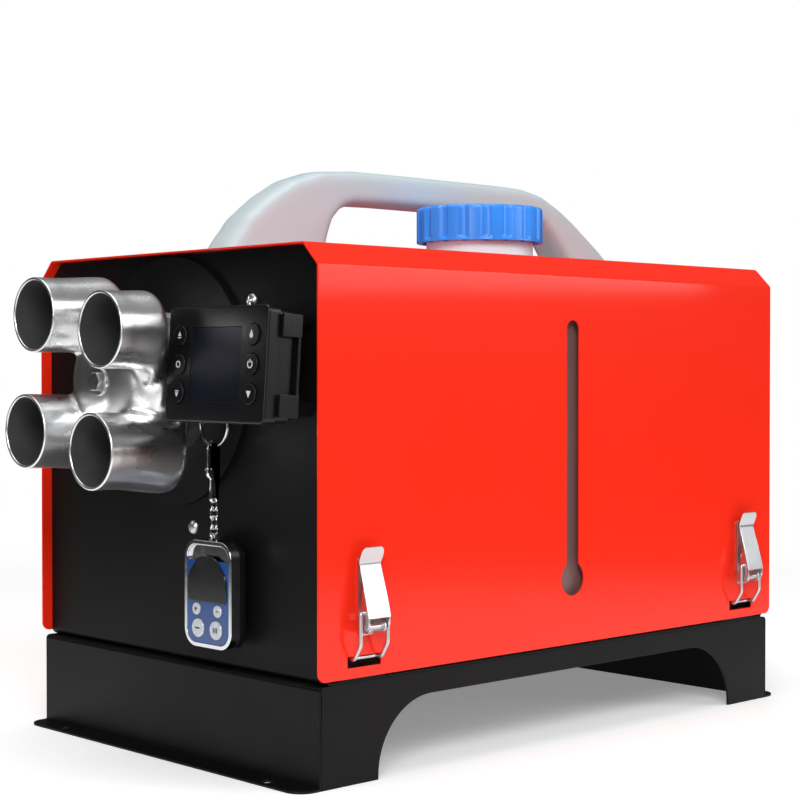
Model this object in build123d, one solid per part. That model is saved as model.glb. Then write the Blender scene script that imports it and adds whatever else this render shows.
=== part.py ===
from build123d import *
import os
from math import cos, radians, sin, sqrt

# Portable diesel air heater. Lengths in mm. The air outlets face -Y, +Z is up, and the origin lies on the
# ground at the centre of the stand's four foot holes.

# ------------------------------------------------------------------ driving dimensions
# stand: bent sheet deck with two end walls and bolt-down feet, and two arched side skirts
STAND_SHEET = 1.5
STAND_SIDE_INSET = 1.5
STAND_END_INSET = 2.0
STAND_HEIGHT = 54.5
STAND_BEND = 2.5
FOOT_DEPTH = 14.0
FOOT_CORNER = 11.0
FOOT_HOLE_RADIUS = 3.25
FOOT_HOLE_SPACING = 196.0
FOOT_HOLE_REACH = 8.0
LEG_LENGTH = 42.0
ARCH_HEIGHT = 42.0
ARCH_RADIUS = 40.0
SKIRT_FLANGE = 12.0

# cover: painted sheet bent to an upside-down U, open at both ends
COVER_LENGTH = 400.0
COVER_WIDTH = 266.0
COVER_HEIGHT = 231.0
COVER_GAP = 2.5
COVER_SHEET = 1.2
COVER_CHAMFER = 12.0
COVER_BEND = 2.6
COVER_FOOT_RADIUS = 5.0
HANDLE_SLOT_WIDTH = 44.0
HANDLE_SLOT_CORNER = 12.0
HANDLE_SLOT_FRONT_GAP = 7.0
HANDLE_SLOT_REAR_GAP = 5.0
FILLER_HOLE_GAP = 3.0
SIGHT_SLOT_WIDTH = 11.0
SIGHT_SLOT_RISE = 29.0
SIGHT_SLOT_DROP = 38.0
SIGHT_BULB_RADIUS = 10.0

# chassis: one sheet bent to a U, its end panels set back from the cover's edges
CHASSIS_SHEET = 1.5
CHASSIS_GAP = 0.3
CHASSIS_BEND = 4.0
PANEL_SETBACK = 6.5
PANEL_TOP_FLANGE = 6.5

# heater core, carried behind the front panel
CORE_X = -2.0
CASE_WIDTH = 112.0
CASE_WALL = 2.5
CASE_CORNER = 24.0
CASE_FRONT = -150.0
CASE_REAR = 160.0
SPIGOT_RADIUS = 37.0
SPIGOT_CONE_LENGTH = 22.0
EXCHANGER_FRONT = -132.0
EXCHANGER_REAR = 28.0
EXCHANGER_RADIUS = 36.0
EXCHANGER_WALL = 4.0
FIN_GAP = 4.5
FIN_THICKNESS = 2.4
FIN_COUNT = 20
BURNER_RADIUS = 24.0
BURNER_WALL = 1.5
BURNER_FRONT = -75.0
BURNER_FLANGE = 4.0
MOTOR_RADIUS = 26.0
MOTOR_VANES = 4
VANE_ROOT = 10.0
VANE_THICKNESS = 4.0
MOTOR_FRONT = 64.0
MOTOR_REAR = 108.0
SHAFT_RADIUS = 2.5
SHAFT_CLEARANCE = 0.05
FAN_GAP = 7.5
FAN_HUB_RADIUS = 15.0
FAN_LENGTH = 20.0
FAN_BLADES = 9
BLADE_ROOT = 3.0
BLADE_THICKNESS = 1.8
BLADE_PITCH = 52.0
PIPE_RADIUS = 12.0
PIPE_WALL = 1.0
AIR_PIPE_RADIUS = 12.5
PIPE_END = 22.0
EXHAUST_Y = -30.0
AIR_PIPE_Y = 12.0
PIPE_X = 12.0
PIPE_CLEARANCE = 2.0
PIPE_BEAD = 0.9
PIPE_BEAD_WIDTH = 1.6
HOSE_SEAT = 26.0

# fuel tank: a saddle over the heater core, with a handle and a filler neck
TANK_SIDE_GAP = 4.8
TANK_FRONT_GAP = 19.0
TANK_REAR_GAP = 13.0
TANK_WALL = 3.0
TANK_CORNER = 18.0
TANK_TOP_GAP = 1.8
TANK_BRIDGE = 11.0
CHANNEL_GAP = 6.0
CORE_GAP = 4.0
HANDLE_THICKNESS = 30.0
HANDLE_RISE = 59.0
HANDLE_BAR = 19.0
HANDLE_ROUNDING = 7.0
HANDLE_FRONT_INSET = 4.0
HANDLE_REAR_INSET = 1.0
ARCH_FRONT_RUN = 66.0
ARCH_FRONT_RADIUS = 130.0
ARCH_REAR_RUN = 80.0
ARCH_REAR_RADIUS = 90.0
FOOT_RISE = 18.0
FOOT_LEAN_FRONT = 7.0
FOOT_LEAN_REAR = 6.0
SHOULDER_RADIUS = 14.0
GRIP_FRONT_RUN = 100.0
GRIP_REAR_RUN = 74.0
GRIP_CORNER = 13.0
GRIP_SLANT = 38.0
NECK_INSET = 70.0
NECK_Y = -8.0
NECK_RADIUS = 33.0
NECK_WALL = 3.5
NECK_RISE = 31.0
CAP_RADIUS = 39.0
CAP_HEIGHT = 25.0
CAP_ROOF = 3.0
CAP_CLEARANCE = 0.4
CAP_FLUTES = 28
FLUTE_RADIUS = 3.2
LINER_THICKNESS = 2.0

# four-way outlet casting
NOZZLE_RADIUS = 21.0
NOZZLE_WALL = 1.8
NOZZLE_SPACING = 66.0
NOZZLE_ROLL = -8.0
NOZZLE_REACH = 76.0
NOZZLE_STRAIGHT = 24.5
FLARE_LENGTH = 16.0
ROOT_RADIUS = 22.5
ROOT_SHARE = 0.42
FLANGE_INSET = 10.0
FLANGE_CORNER = 38.0
FLANGE_THICKNESS = 2.0
DOME_FOOT_RADIUS = 40.0
DOME_WAIST_RADIUS = 38.5
DOME_WAIST_HEIGHT = 33.0
DOME_SHOULDER_RADIUS = 34.0
DOME_SHOULDER_HEIGHT = 43.0
DOME_TOP_RADIUS = 14.0
DOME_HEIGHT = 48.0
RING_TOP_GAP = 1.3
RING_THICKNESS = 3.0
RING_BORE_RADIUS = 34.0
BOLT_RADIUS = 3.0
BOLT_CLEARANCE = 0.05
BOLT_HEAD_WIDTH = 10.0
BOLT_HEAD_HEIGHT = 4.0
HUB_RADIUS = 9.0
HUB_HEIGHT = 10.0
HUB_DEPTH = 8.0
HUB_ARM_WIDTH = 6.0
HUB_ARMS = 3
SCREW_HEAD_RADIUS = 4.2
SCREW_HEAD_HEIGHT = 2.6
SCREW_RADIUS = 2.0
SCREW_LENGTH = 8.0
SCREW_CROWN = 1.5
SCREW_CIRCLE = 85.0
SCREW_ANGLES = (31.5, 157.0, -77.0)

# display, leaning back a little on its holder
DISPLAY_OFFSET = 84.0
DISPLAY_RISE = 9.5
DISPLAY_WIDTH = 86.0
DISPLAY_HEIGHT = 62.0
DISPLAY_DEPTH = 19.0
DISPLAY_REACH = 34.5
DISPLAY_LEAN = 4.0
BEZEL_DEPTH = 8.0
BEZEL_CORNER = 4.0
SCREEN_WIDTH = 43.0
SCREEN_HEIGHT = 39.5
SCREEN_RECESS = 1.4
SCREEN_THICKNESS = 1.0
KEY_RADIUS = 5.5
KEY_CLEARANCE = 0.3
KEY_RISE = 1.2
KEY_SPACING = 15.5
KEY_COLUMN = 31.0
KEY_SKIRT = 5.3
KEY_FLANGE = 1.2
HOLDER_SHEET = 2.0
HOLDER_LIP = 12.0
POST_RADIUS = 4.0
POST_SPACING_X = 34.0
POST_SPACING_Z = 48.0
POST_OFFSET = 19.0
LEAD_RADIUS = 2.5
LEAD_OFFSET = 16.0
LEAD_DROP = 11.5
GROMMET_RADIUS = 7.0
GROMMET_LIP = 2.0

# key-ring remote, hung on a pin behind the display's lower corner
HANG_OFFSET = 31.0
HANG_DROP = 24.5
HANG_REACH = 11.5
HANG_PIN_RADIUS = 2.0
HANG_GAP = 0.3
HANG_PIN_REACH = 3.6
PIN_HEAD = 1.3
RING_WIRE = 1.1
RING_LOOP = 12.0
CLASP_THICKNESS = 2.2
CLASP_HOLE_RADIUS = 3.0
CLASP_WIRE = 2.2
CLASP_LENGTH = 35.0
GATE_LENGTH = 9.7
GATE_DROP = 10.0
GATE_SWING = 28.0
GATE_STEPS = 4
EYE_BAR = 1.8
EYE_HOLE = 3.2
LINK_WIRE = 0.7
LINK_BEND = 2.2
LINK_STRAIGHT = 2.4
LINK_COUNT = 4
LINK_GAP = 0.55
FOB_WIDTH = 42.0
FOB_HEIGHT = 59.0
FOB_THICKNESS = 11.0
FOB_CORNER = 10.0
FOB_FACE_INSET = 2.5
FOB_BACK_DEPTH = 5.0
LUG_THICKNESS = 2.2
FOB_KEY_SMALL = 3.4
FOB_KEY_LARGE = 5.2
FOB_KEY_RISE = 0.9
FOB_KEY_CLEARANCE = 0.25

# toggle latches, two on each side of the cover
LATCH_INSET = 32.5
LATCH_PLATE_WIDTH = 17.0
LATCH_PLATE_HEIGHT = 42.0
LATCH_PLATE_DROP = 5.0
LATCH_SHEET = 1.5
PIVOT_STANDOFF = 7.6
PIVOT_RISE = 27.5
PIVOT_RADIUS = 1.5
PIVOT_CLEARANCE = 0.05
EAR_RADIUS = 3.1
EAR_SPREAD = 11.0
LEVER_WIDTH = 16.5
LEVER_LENGTH = 32.5
LEVER_TIP = 10.0
BAIL_WIRE = 1.1
BAIL_OFFSET = 8.0
BAIL_WIDTH = 19.4
BAIL_PIN_CLEARANCE = 0.05
HOOK_SLOT_WIDTH = 24.0
HOOK_SLOT_HEIGHT = 6.0
HOOK_SLOT_RISE = 8.7
CATCH_SHEET = 1.5
CATCH_HEIGHT = 20.0
CATCH_WIDTH = 32.0

# rear panel fittings
GRILLE_RADIUS = 50.0
GRILLE_RIM = 5.0
GRILLE_THICKNESS = 4.0
GRILLE_RINGS = 3
GRILLE_SPOKES = 6
GRILLE_BAR = 2.0
GRILLE_SPOKE = 2.4
GRILLE_COLLAR = 6.0
GRILLE_FIT = 0.1
GLAND_INSET = 38.0
GLAND_RISE = 28.0
GLAND_RADIUS = 8.0
GLAND_HOLE_RADIUS = 6.0
GLAND_COLLAR = 4.0
GLAND_CONE = 9.0
GLAND_TIP_RADIUS = 5.5
GLAND_NUT = 3.5
GLAND_THREAD = 0.5
CABLE_RADIUS = 3.2

# fuel line below the core
LINE_GAP = 2.0
LINE_RISE = 28.0
SPIGOT_Y = -130.0
HOSE_RADIUS = 4.5
HOSE_BORE = 3.0
FILTER_FRONT = -108.0
FILTER_LENGTH = 30.0
FILTER_RADIUS = 11.0
PUMP_FRONT = -48.0
PUMP_LENGTH = 56.0
PUMP_RADIUS = 14.0
NIPPLE_LENGTH = 8.0
HOLDER_WIDTH = 18.0
HOLDER_WALL = 4.0
LEG_INSET = 11.0
LEG_FOOT = 12.0
LEG_PLACES = (-95.0, 110.0)
LEG_WIDTH = 22.0
LEG_SHEET = 2.0

# control board in the heater's case
BOARD_Y = 98.0
BOARD_RISE = 20.0
BOARD_LENGTH = 44.0
BOARD_HEIGHT = 28.0
BOARD_THICKNESS = 1.6
BOARD_STANDOFF = 5.0
BOARD_POST_RADIUS = 2.0
BOARD_POST_SPACING = 32.0
CHIP_SIZE = 12.0
CHIP_HEIGHT = 4.4

# ------------------------------------------------------------------ places that follow from them
STAND_WIDTH = COVER_WIDTH - 2 * STAND_SIDE_INSET
STAND_LENGTH = COVER_LENGTH - 2 * STAND_END_INSET
COVER_BOTTOM = STAND_HEIGHT + COVER_GAP
COVER_TOP = COVER_BOTTOM + COVER_HEIGHT
SIGHT_SLOT_BOTTOM = COVER_BOTTOM + SIGHT_SLOT_RISE
SIGHT_SLOT_TOP = COVER_TOP - SIGHT_SLOT_DROP
PANEL_Y = COVER_LENGTH / 2 - PANEL_SETBACK
CHASSIS_FLOOR = STAND_HEIGHT + CHASSIS_SHEET
TANK_WIDTH = COVER_WIDTH - 2 * (COVER_SHEET + TANK_SIDE_GAP)
TANK_FRONT = -COVER_LENGTH / 2 + TANK_FRONT_GAP
TANK_REAR = COVER_LENGTH / 2 - TANK_REAR_GAP
TANK_TOP = COVER_TOP - COVER_SHEET - TANK_TOP_GAP
TANK_CHANNEL = CASE_WIDTH + 2 * CHANNEL_GAP
CHANNEL_TOP = TANK_TOP - TANK_BRIDGE
HANDLE_TOP = TANK_TOP + HANDLE_RISE
HANDLE_FRONT = TANK_FRONT + HANDLE_FRONT_INSET
HANDLE_REAR = TANK_REAR - HANDLE_REAR_INSET
HANDLE_SLOT_FRONT = HANDLE_FRONT - HANDLE_SLOT_FRONT_GAP
HANDLE_SLOT_REAR = HANDLE_REAR + HANDLE_SLOT_REAR_GAP
ARCH_FRONT = HANDLE_FRONT + ARCH_FRONT_RUN
ARCH_REAR = HANDLE_REAR - ARCH_REAR_RUN
GRIP_FRONT = HANDLE_FRONT + GRIP_FRONT_RUN
GRIP_REAR = HANDLE_REAR - GRIP_REAR_RUN
NECK_X = COVER_WIDTH / 2 - NECK_INSET
FILLER_HOLE_RADIUS = CAP_RADIUS + FILLER_HOLE_GAP
CORE_Z = CHANNEL_TOP - CORE_GAP - CASE_WIDTH / 2
CASE_BOTTOM = CORE_Z - CASE_WIDTH / 2
FIN_RADIUS = CASE_WIDTH / 2 - CASE_WALL - FIN_GAP
FAN_RADIUS = CASE_WIDTH / 2 - CASE_WALL - FAN_GAP
LEG_SPREAD = CASE_WIDTH / 2 - LEG_INSET
LINE_Z = CHASSIS_FLOOR + LINE_RISE
LINE_X = CORE_X - LEG_SPREAD + PUMP_RADIUS + LINE_GAP - 1
GLAND_Z = CHASSIS_FLOOR + GLAND_RISE
GLAND_X = COVER_WIDTH / 2 - GLAND_INSET
RING_RADIUS = COVER_TOP - COVER_SHEET - RING_TOP_GAP - CORE_Z
DISPLAY_X = CORE_X + DISPLAY_OFFSET
DISPLAY_Z = CORE_Z + DISPLAY_RISE
POST_X = DISPLAY_X + POST_OFFSET
LEAD_X = DISPLAY_X + LEAD_OFFSET
LEAD_Z = DISPLAY_Z - LEAD_DROP
HANG_X = DISPLAY_X - HANG_OFFSET
HANG_Y = -PANEL_Y - HANG_REACH
HANG_Z = DISPLAY_Z - HANG_DROP
LATCH_Y = COVER_LENGTH / 2 - LATCH_INSET
PIVOT_Z = COVER_BOTTOM + PIVOT_RISE
LATCH_PLATE_BOTTOM = PIVOT_Z - LATCH_PLATE_DROP
LEVER_TOP = PIVOT_Z + LEVER_LENGTH
HOOK_SLOT_Z = COVER_BOTTOM + HOOK_SLOT_RISE
BASE_Y = PANEL_Y + RING_THICKNESS
NOZZLE_END = PANEL_Y + NOZZLE_REACH
NECK_TOP = TANK_TOP + NECK_RISE
CAP_TOP = NECK_TOP + 2 * HANG_GAP + LINER_THICKNESS + CAP_ROOF
RING_CENTRE_Z = HANG_Z + HANG_PIN_RADIUS + HANG_GAP - RING_LOOP + RING_WIRE
RING_LOW_Z = RING_CENTRE_Z - RING_LOOP
CLASP_HOLE_Z = RING_LOW_Z + RING_WIRE + HANG_GAP - CLASP_HOLE_RADIUS
EYE_BAR_TOP = CLASP_HOLE_Z - CLASP_LENGTH + CLASP_HOLE_RADIUS + CLASP_WIRE + EYE_BAR
LINK_REACH = LINK_STRAIGHT / 2 + LINK_BEND
LINK_PITCH = 2 * (LINK_REACH - LINK_WIRE) - HANG_GAP
LINK_TOP_Z = EYE_BAR_TOP + LINK_GAP + LINK_WIRE - LINK_REACH
LUG_HOLE_TOP = LINK_TOP_Z - (LINK_COUNT - 1) * LINK_PITCH - LINK_REACH + LINK_WIRE + LINK_GAP
FOB_TOP = LUG_HOLE_TOP - 2.6
PIVOT_X = COVER_WIDTH / 2 + PIVOT_STANDOFF
CATCH_X = COVER_WIDTH / 2 - COVER_SHEET - CHASSIS_GAP
BAIL_FOOT_Z = HOOK_SLOT_Z + HOOK_SLOT_HEIGHT / 2 - BAIL_WIRE - HANG_GAP
BAIL_FOOT_X = CATCH_X - CATCH_SHEET / 2
NIPPLE_Y = MOTOR_FRONT - 20

UP = (Align.CENTER, Align.CENTER, Align.MIN)


# ------------------------------------------------------------------ shared helpers
def front_plane(y):
    """Plane for an outline in X and Z. Extrusion runs towards -Y."""
    return Plane(origin=(0, y, 0), x_dir=(1, 0, 0), z_dir=(0, -1, 0))


def side_plane(x):
    """Plane for an outline in Y and Z. Extrusion runs towards +X."""
    return Plane(origin=(x, 0, 0), x_dir=(0, 1, 0), z_dir=(1, 0, 0))


def block(low, high):
    """Box between two opposite corners."""
    size = [b - a for a, b in zip(low, high)]
    centre = [(a + b) / 2 for a, b in zip(low, high)]
    return Pos(*centre) * Box(*size)


def rod(start, end, radius):
    """Round bar between two points."""
    run = Vector(*end) - Vector(*start)
    return Plane(origin=start, z_dir=run) * Cylinder(radius, run.length, align=UP)


def taper(start, end, start_radius, end_radius):
    """Cone between two points."""
    run = Vector(*end) - Vector(*start)
    return Plane(origin=start, z_dir=run) * Cone(start_radius, end_radius, run.length, align=UP)


def outline(points):
    """Closed polygon, its points in order."""
    return make_face(Polyline(*points, close=True))


def wire_loop(path, radius):
    """Round wire along a path."""
    start = path @ 0
    section = Plane(origin=start, z_dir=path % 0) * Circle(radius)
    return sweep(section, path=path)


# ------------------------------------------------------------------ stand
def stand_frame():
    half_x = STAND_WIDTH / 2
    half_y = STAND_LENGTH / 2
    deck_bottom = STAND_HEIGHT - STAND_SHEET
    deck = block((-half_x + STAND_SHEET, -half_y, deck_bottom), (half_x - STAND_SHEET, half_y, STAND_HEIGHT))
    wall = block((-half_x, -half_y, 0), (half_x, -half_y + STAND_SHEET, STAND_HEIGHT))
    foot = block((-half_x, -half_y - FOOT_DEPTH, 0), (half_x, -half_y + STAND_SHEET, STAND_SHEET))
    foot = fillet(foot.edges().filter_by(Axis.Z).group_by(Axis.Y)[0], FOOT_CORNER)
    hole_y = -half_y - FOOT_HOLE_REACH
    for x in (-FOOT_HOLE_SPACING / 2, FOOT_HOLE_SPACING / 2):
        foot -= rod((x, hole_y, -1), (x, hole_y, STAND_SHEET + 1), FOOT_HOLE_RADIUS)
    end_wall = wall + foot
    frame = deck + end_wall + mirror(end_wall, about=Plane.XZ)
    top_edges = frame.edges().filter_by(Axis.X).filter_by(
        lambda e: abs(e.center().Z - STAND_HEIGHT) < 0.01 and abs(abs(e.center().Y) - half_y) < 0.01)
    frame = fillet(top_edges, STAND_BEND)
    return frame - pipe_holes(deck_bottom - 1, STAND_HEIGHT + 1)


def pipe_holes(low, high):
    """Clearance holes for the exhaust and combustion-air pipes."""
    exhaust = rod((PIPE_X, EXHAUST_Y, low), (PIPE_X, EXHAUST_Y, high), PIPE_RADIUS + PIPE_CLEARANCE)
    air = rod((PIPE_X, AIR_PIPE_Y, low), (PIPE_X, AIR_PIPE_Y, high), AIR_PIPE_RADIUS + PIPE_CLEARANCE)
    return exhaust + air


def stand_side(side):
    half_y = STAND_LENGTH / 2 - STAND_SHEET
    arch_half = STAND_LENGTH / 2 - LEG_LENGTH
    skirt = Pos(0, STAND_HEIGHT / 2) * Rectangle(2 * half_y, STAND_HEIGHT)
    skirt -= RectangleRounded(2 * arch_half, 2 * ARCH_HEIGHT, ARCH_RADIUS)
    inner_x = STAND_WIDTH / 2 - STAND_SHEET
    skirt = extrude(side_plane(inner_x) * skirt, STAND_SHEET)
    flange_top = STAND_HEIGHT - STAND_SHEET
    flange = block((inner_x - SKIRT_FLANGE, -half_y + SKIRT_FLANGE, flange_top - STAND_SHEET),
                   (inner_x, half_y - SKIRT_FLANGE, flange_top))
    skirt += flange
    return skirt if side > 0 else mirror(skirt, about=Plane.YZ)


# ------------------------------------------------------------------ cover and chassis
def cover_outline(inset):
    """Cross-section of the space under the cover's skin, from just above the stand to the top."""
    half = COVER_WIDTH / 2 - inset
    top = COVER_TOP - inset
    chamfer_leg = COVER_CHAMFER - inset * (2 - sqrt(2))
    low = COVER_BOTTOM - 2 * COVER_SHEET if inset else COVER_BOTTOM
    shape = outline([(-half, low), (half, low), (half, top - chamfer_leg), (half - chamfer_leg, top),
                     (-half + chamfer_leg, top), (-half, top - chamfer_leg)])
    return fillet([v for v in shape.vertices() if v.Y > low + 1], max(COVER_BEND - inset, COVER_SHEET))


def cover_shell():
    half_length = COVER_LENGTH / 2
    section = cover_outline(0) - cover_outline(COVER_SHEET)
    shell = extrude(front_plane(half_length) * section, COVER_LENGTH)
    feet = shell.edges().filter_by(Axis.X).filter_by(
        lambda e: e.length < 2 * COVER_SHEET and abs(e.center().Z - COVER_BOTTOM) < 0.01)
    shell = fillet(feet, COVER_FOOT_RADIUS)
    slot_length = HANDLE_SLOT_REAR - HANDLE_SLOT_FRONT
    slot_centre = (HANDLE_SLOT_REAR + HANDLE_SLOT_FRONT) / 2
    top_cut = Pos(0, slot_centre) * RectangleRounded(HANDLE_SLOT_WIDTH, slot_length, HANDLE_SLOT_CORNER)
    top_cut += Pos(NECK_X, NECK_Y) * Circle(FILLER_HOLE_RADIUS)
    shell -= extrude(Plane.XY.offset(TANK_TOP) * top_cut, 3 * COVER_CHAMFER)
    sight = Pos(0, (SIGHT_SLOT_TOP + SIGHT_SLOT_BOTTOM) / 2) * RectangleRounded(
        SIGHT_SLOT_WIDTH, SIGHT_SLOT_TOP - SIGHT_SLOT_BOTTOM, SIGHT_SLOT_WIDTH / 2 - 0.01)
    sight += Pos(0, SIGHT_SLOT_BOTTOM + SIGHT_BULB_RADIUS) * Circle(SIGHT_BULB_RADIUS)
    shell -= extrude(side_plane(COVER_WIDTH / 2 - 3 * COVER_SHEET) * sight, 6 * COVER_SHEET)
    for y in (-LATCH_Y, LATCH_Y):
        hook_slot = Pos(y, HOOK_SLOT_Z) * Rectangle(HOOK_SLOT_WIDTH, HOOK_SLOT_HEIGHT)
        shell -= extrude(side_plane(-COVER_WIDTH) * hook_slot, 2 * COVER_WIDTH)
    return shell


def cover_room(inset):
    """The space under the cover's skin, carried on down past the stand's top."""
    below = Pos(0, STAND_HEIGHT) * Rectangle(COVER_WIDTH - 2 * inset, 2 * CHASSIS_SHEET + COVER_GAP)
    return cover_outline(inset) + below


def chassis():
    floor = STAND_HEIGHT
    top = COVER_TOP - COVER_SHEET
    height = top - floor
    middle = (top + floor) / 2
    outer = Pos(0, middle) * Rectangle(2 * PANEL_Y, height)
    outer = fillet(outer.vertices().group_by(Axis.Y)[0], CHASSIS_BEND)
    inner = Pos(0, middle) * Rectangle(2 * PANEL_Y - 2 * CHASSIS_SHEET, height - 2 * CHASSIS_SHEET)
    inner = fillet(inner.vertices().group_by(Axis.Y)[0], CHASSIS_BEND - CHASSIS_SHEET)
    mouth = Pos(0, top) * Rectangle(2 * (PANEL_Y - PANEL_TOP_FLANGE), 4 * CHASSIS_SHEET)
    sheet = extrude(side_plane(-COVER_WIDTH / 2) * (outer - inner - mouth), COVER_WIDTH)
    sheet &= extrude(front_plane(COVER_LENGTH) * cover_room(COVER_SHEET + CHASSIS_GAP), 2 * COVER_LENGTH)
    sheet -= pipe_holes(floor - 1, CHASSIS_FLOOR + 1)
    sheet -= rod((CORE_X, -PANEL_Y - 1, CORE_Z), (CORE_X, 0, CORE_Z), SPIGOT_RADIUS + CHASSIS_GAP)
    sheet -= rod((CORE_X, 0, CORE_Z), (CORE_X, PANEL_Y + 1, CORE_Z), GRILLE_RADIUS - GRILLE_RIM)
    sheet -= rod((LEAD_X, -PANEL_Y - 1, LEAD_Z), (LEAD_X, 0, LEAD_Z), 2 * LEAD_RADIUS)
    sheet -= rod((GLAND_X, 0, GLAND_Z), (GLAND_X, PANEL_Y + 1, GLAND_Z), GLAND_HOLE_RADIUS)
    for x, z in panel_screw_places():
        sheet -= rod((x, -PANEL_Y - 1, z), (x, 0, z), SCREW_RADIUS + 0.1)
    return sheet


def panel_screw_places():
    return [(CORE_X + SCREW_CIRCLE * cos(radians(a)), CORE_Z + SCREW_CIRCLE * sin(radians(a)))
            for a in SCREW_ANGLES]


def casing_screws():
    screws = Part()
    for x, z in panel_screw_places():
        head = rod((x, -PANEL_Y, z), (x, -PANEL_Y - SCREW_HEAD_HEIGHT, z), SCREW_HEAD_RADIUS)
        head = fillet(head.edges().group_by(Axis.Y)[0], SCREW_CROWN)
        screws += head + rod((x, -PANEL_Y, z), (x, -PANEL_Y + SCREW_LENGTH, z), SCREW_RADIUS)
    return screws


def intake_grille():
    y = PANEL_Y
    rim = rod((CORE_X, y, CORE_Z), (CORE_X, y + GRILLE_THICKNESS, CORE_Z), GRILLE_RADIUS)
    inner = GRILLE_RADIUS - GRILLE_RIM
    grille = rim - rod((CORE_X, y - 1, CORE_Z), (CORE_X, y + GRILLE_THICKNESS + 1, CORE_Z), inner)
    back = y - GRILLE_COLLAR
    collar = rod((CORE_X, back, CORE_Z), (CORE_X, y, CORE_Z), inner - GRILLE_FIT)
    grille += collar - rod((CORE_X, back - 1, CORE_Z), (CORE_X, y + 1, CORE_Z), inner - GRILLE_BAR)
    pitch = inner / (GRILLE_RINGS + 0.5)
    for ring in range(1, GRILLE_RINGS + 1):
        mean = pitch * ring
        hoop = Circle(mean + GRILLE_BAR / 2) - Circle(mean - GRILLE_BAR / 2)
        grille += extrude(front_plane(y + GRILLE_THICKNESS) * (Pos(CORE_X, CORE_Z) * hoop), GRILLE_THICKNESS)
    for spoke in range(GRILLE_SPOKES // 2):
        turn = Rot(0, 0, spoke * 360 / GRILLE_SPOKES)
        bar = Pos(CORE_X, CORE_Z) * turn * Rectangle(2 * inner + 1, GRILLE_SPOKE)
        grille += extrude(front_plane(y + GRILLE_THICKNESS) * bar, GRILLE_THICKNESS)
    return grille


def power_gland():
    y = PANEL_Y
    collar = y + GLAND_COLLAR
    tip = collar + GLAND_CONE
    inside = y - CHASSIS_SHEET - GLAND_NUT - GLAND_THREAD
    body = rod((GLAND_X, y, GLAND_Z), (GLAND_X, collar, GLAND_Z), GLAND_RADIUS)
    body += taper((GLAND_X, collar, GLAND_Z), (GLAND_X, tip, GLAND_Z), GLAND_RADIUS - 1, GLAND_TIP_RADIUS)
    body += rod((GLAND_X, inside, GLAND_Z), (GLAND_X, y, GLAND_Z), GLAND_HOLE_RADIUS - GRILLE_FIT)
    nut = Pos(GLAND_X, GLAND_Z) * RegularPolygon(GLAND_RADIUS, 6)
    body += extrude(front_plane(y - CHASSIS_SHEET) * nut, GLAND_NUT)
    return body - rod((GLAND_X, inside - 1, GLAND_Z), (GLAND_X, tip + 1, GLAND_Z), CABLE_RADIUS)


# ------------------------------------------------------------------ fuel tank and cap
def tank_body(inset):
    """Saddle shape over the heater core, drawn in by inset all round."""
    half = TANK_WIDTH / 2 - inset
    top = TANK_TOP - inset
    floor = CHASSIS_FLOOR + inset
    length = TANK_REAR - TANK_FRONT - 2 * inset
    corner = TANK_CORNER - inset
    shape = Pos(0, (top + floor) / 2) * RectangleRounded(2 * half, top - floor, corner)
    channel_height = CHANNEL_TOP + inset - floor
    channel = Pos(0, floor) * RectangleRounded(TANK_CHANNEL + 2 * inset, 2 * channel_height, corner)
    return extrude(front_plane(TANK_REAR - inset) * (shape - channel), length)


def handle():
    """Arched bar along the tank, broad at its front foot."""
    foot = TANK_TOP - TANK_WALL / 2
    top = HANDLE_TOP
    shoulder = TANK_TOP + FOOT_RISE
    corners = [(HANDLE_FRONT, foot), (HANDLE_FRONT + FOOT_LEAN_FRONT, shoulder), (ARCH_FRONT, top),
               (ARCH_REAR, top), (HANDLE_REAR - FOOT_LEAN_REAR, shoulder), (HANDLE_REAR, foot)]
    arch = outline(corners)
    high = arch.vertices().group_by(Axis.Y)[-1].sort_by(Axis.X)
    arch = fillet(high[0], ARCH_FRONT_RADIUS)
    rear_corner = arch.vertices().filter_by(lambda v: abs(v.X - ARCH_REAR) < 0.01)
    arch = fillet(rear_corner, ARCH_REAR_RADIUS)
    shoulders = arch.vertices().filter_by(lambda v: abs(v.Y - shoulder) < 0.01)
    arch = fillet(shoulders, SHOULDER_RADIUS)
    under = top - HANDLE_BAR
    grip = outline([(GRIP_FRONT, foot - 1), (GRIP_FRONT, under), (GRIP_REAR, under),
                    (GRIP_REAR + GRIP_SLANT, foot - 1)])
    grip = fillet(grip.vertices().group_by(Axis.Y)[-1], GRIP_CORNER)
    bar = extrude(side_plane(-HANDLE_THICKNESS / 2) * (arch - grip), HANDLE_THICKNESS)
    half = HANDLE_THICKNESS / 2
    rims = bar.edges().filter_by(lambda e: abs(abs(e.center().X) - half) < 0.01 and e.center().Z > foot + 1)
    return fillet(rims, HANDLE_ROUNDING)


def fuel_tank():
    tank = tank_body(0) + handle()
    neck_base = TANK_TOP - TANK_WALL
    tank += rod((NECK_X, NECK_Y, neck_base), (NECK_X, NECK_Y, NECK_TOP), NECK_RADIUS)
    tank -= tank_body(TANK_WALL)
    tank -= rod((NECK_X, NECK_Y, neck_base - 1), (NECK_X, NECK_Y, NECK_TOP + 1), NECK_RADIUS - NECK_WALL)
    wall_x = -TANK_CHANNEL / 2
    tank += rod((wall_x - TANK_WALL / 2, SPIGOT_Y, LINE_Z), (wall_x + 10, SPIGOT_Y, LINE_Z), HOSE_BORE)
    return tank


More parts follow.
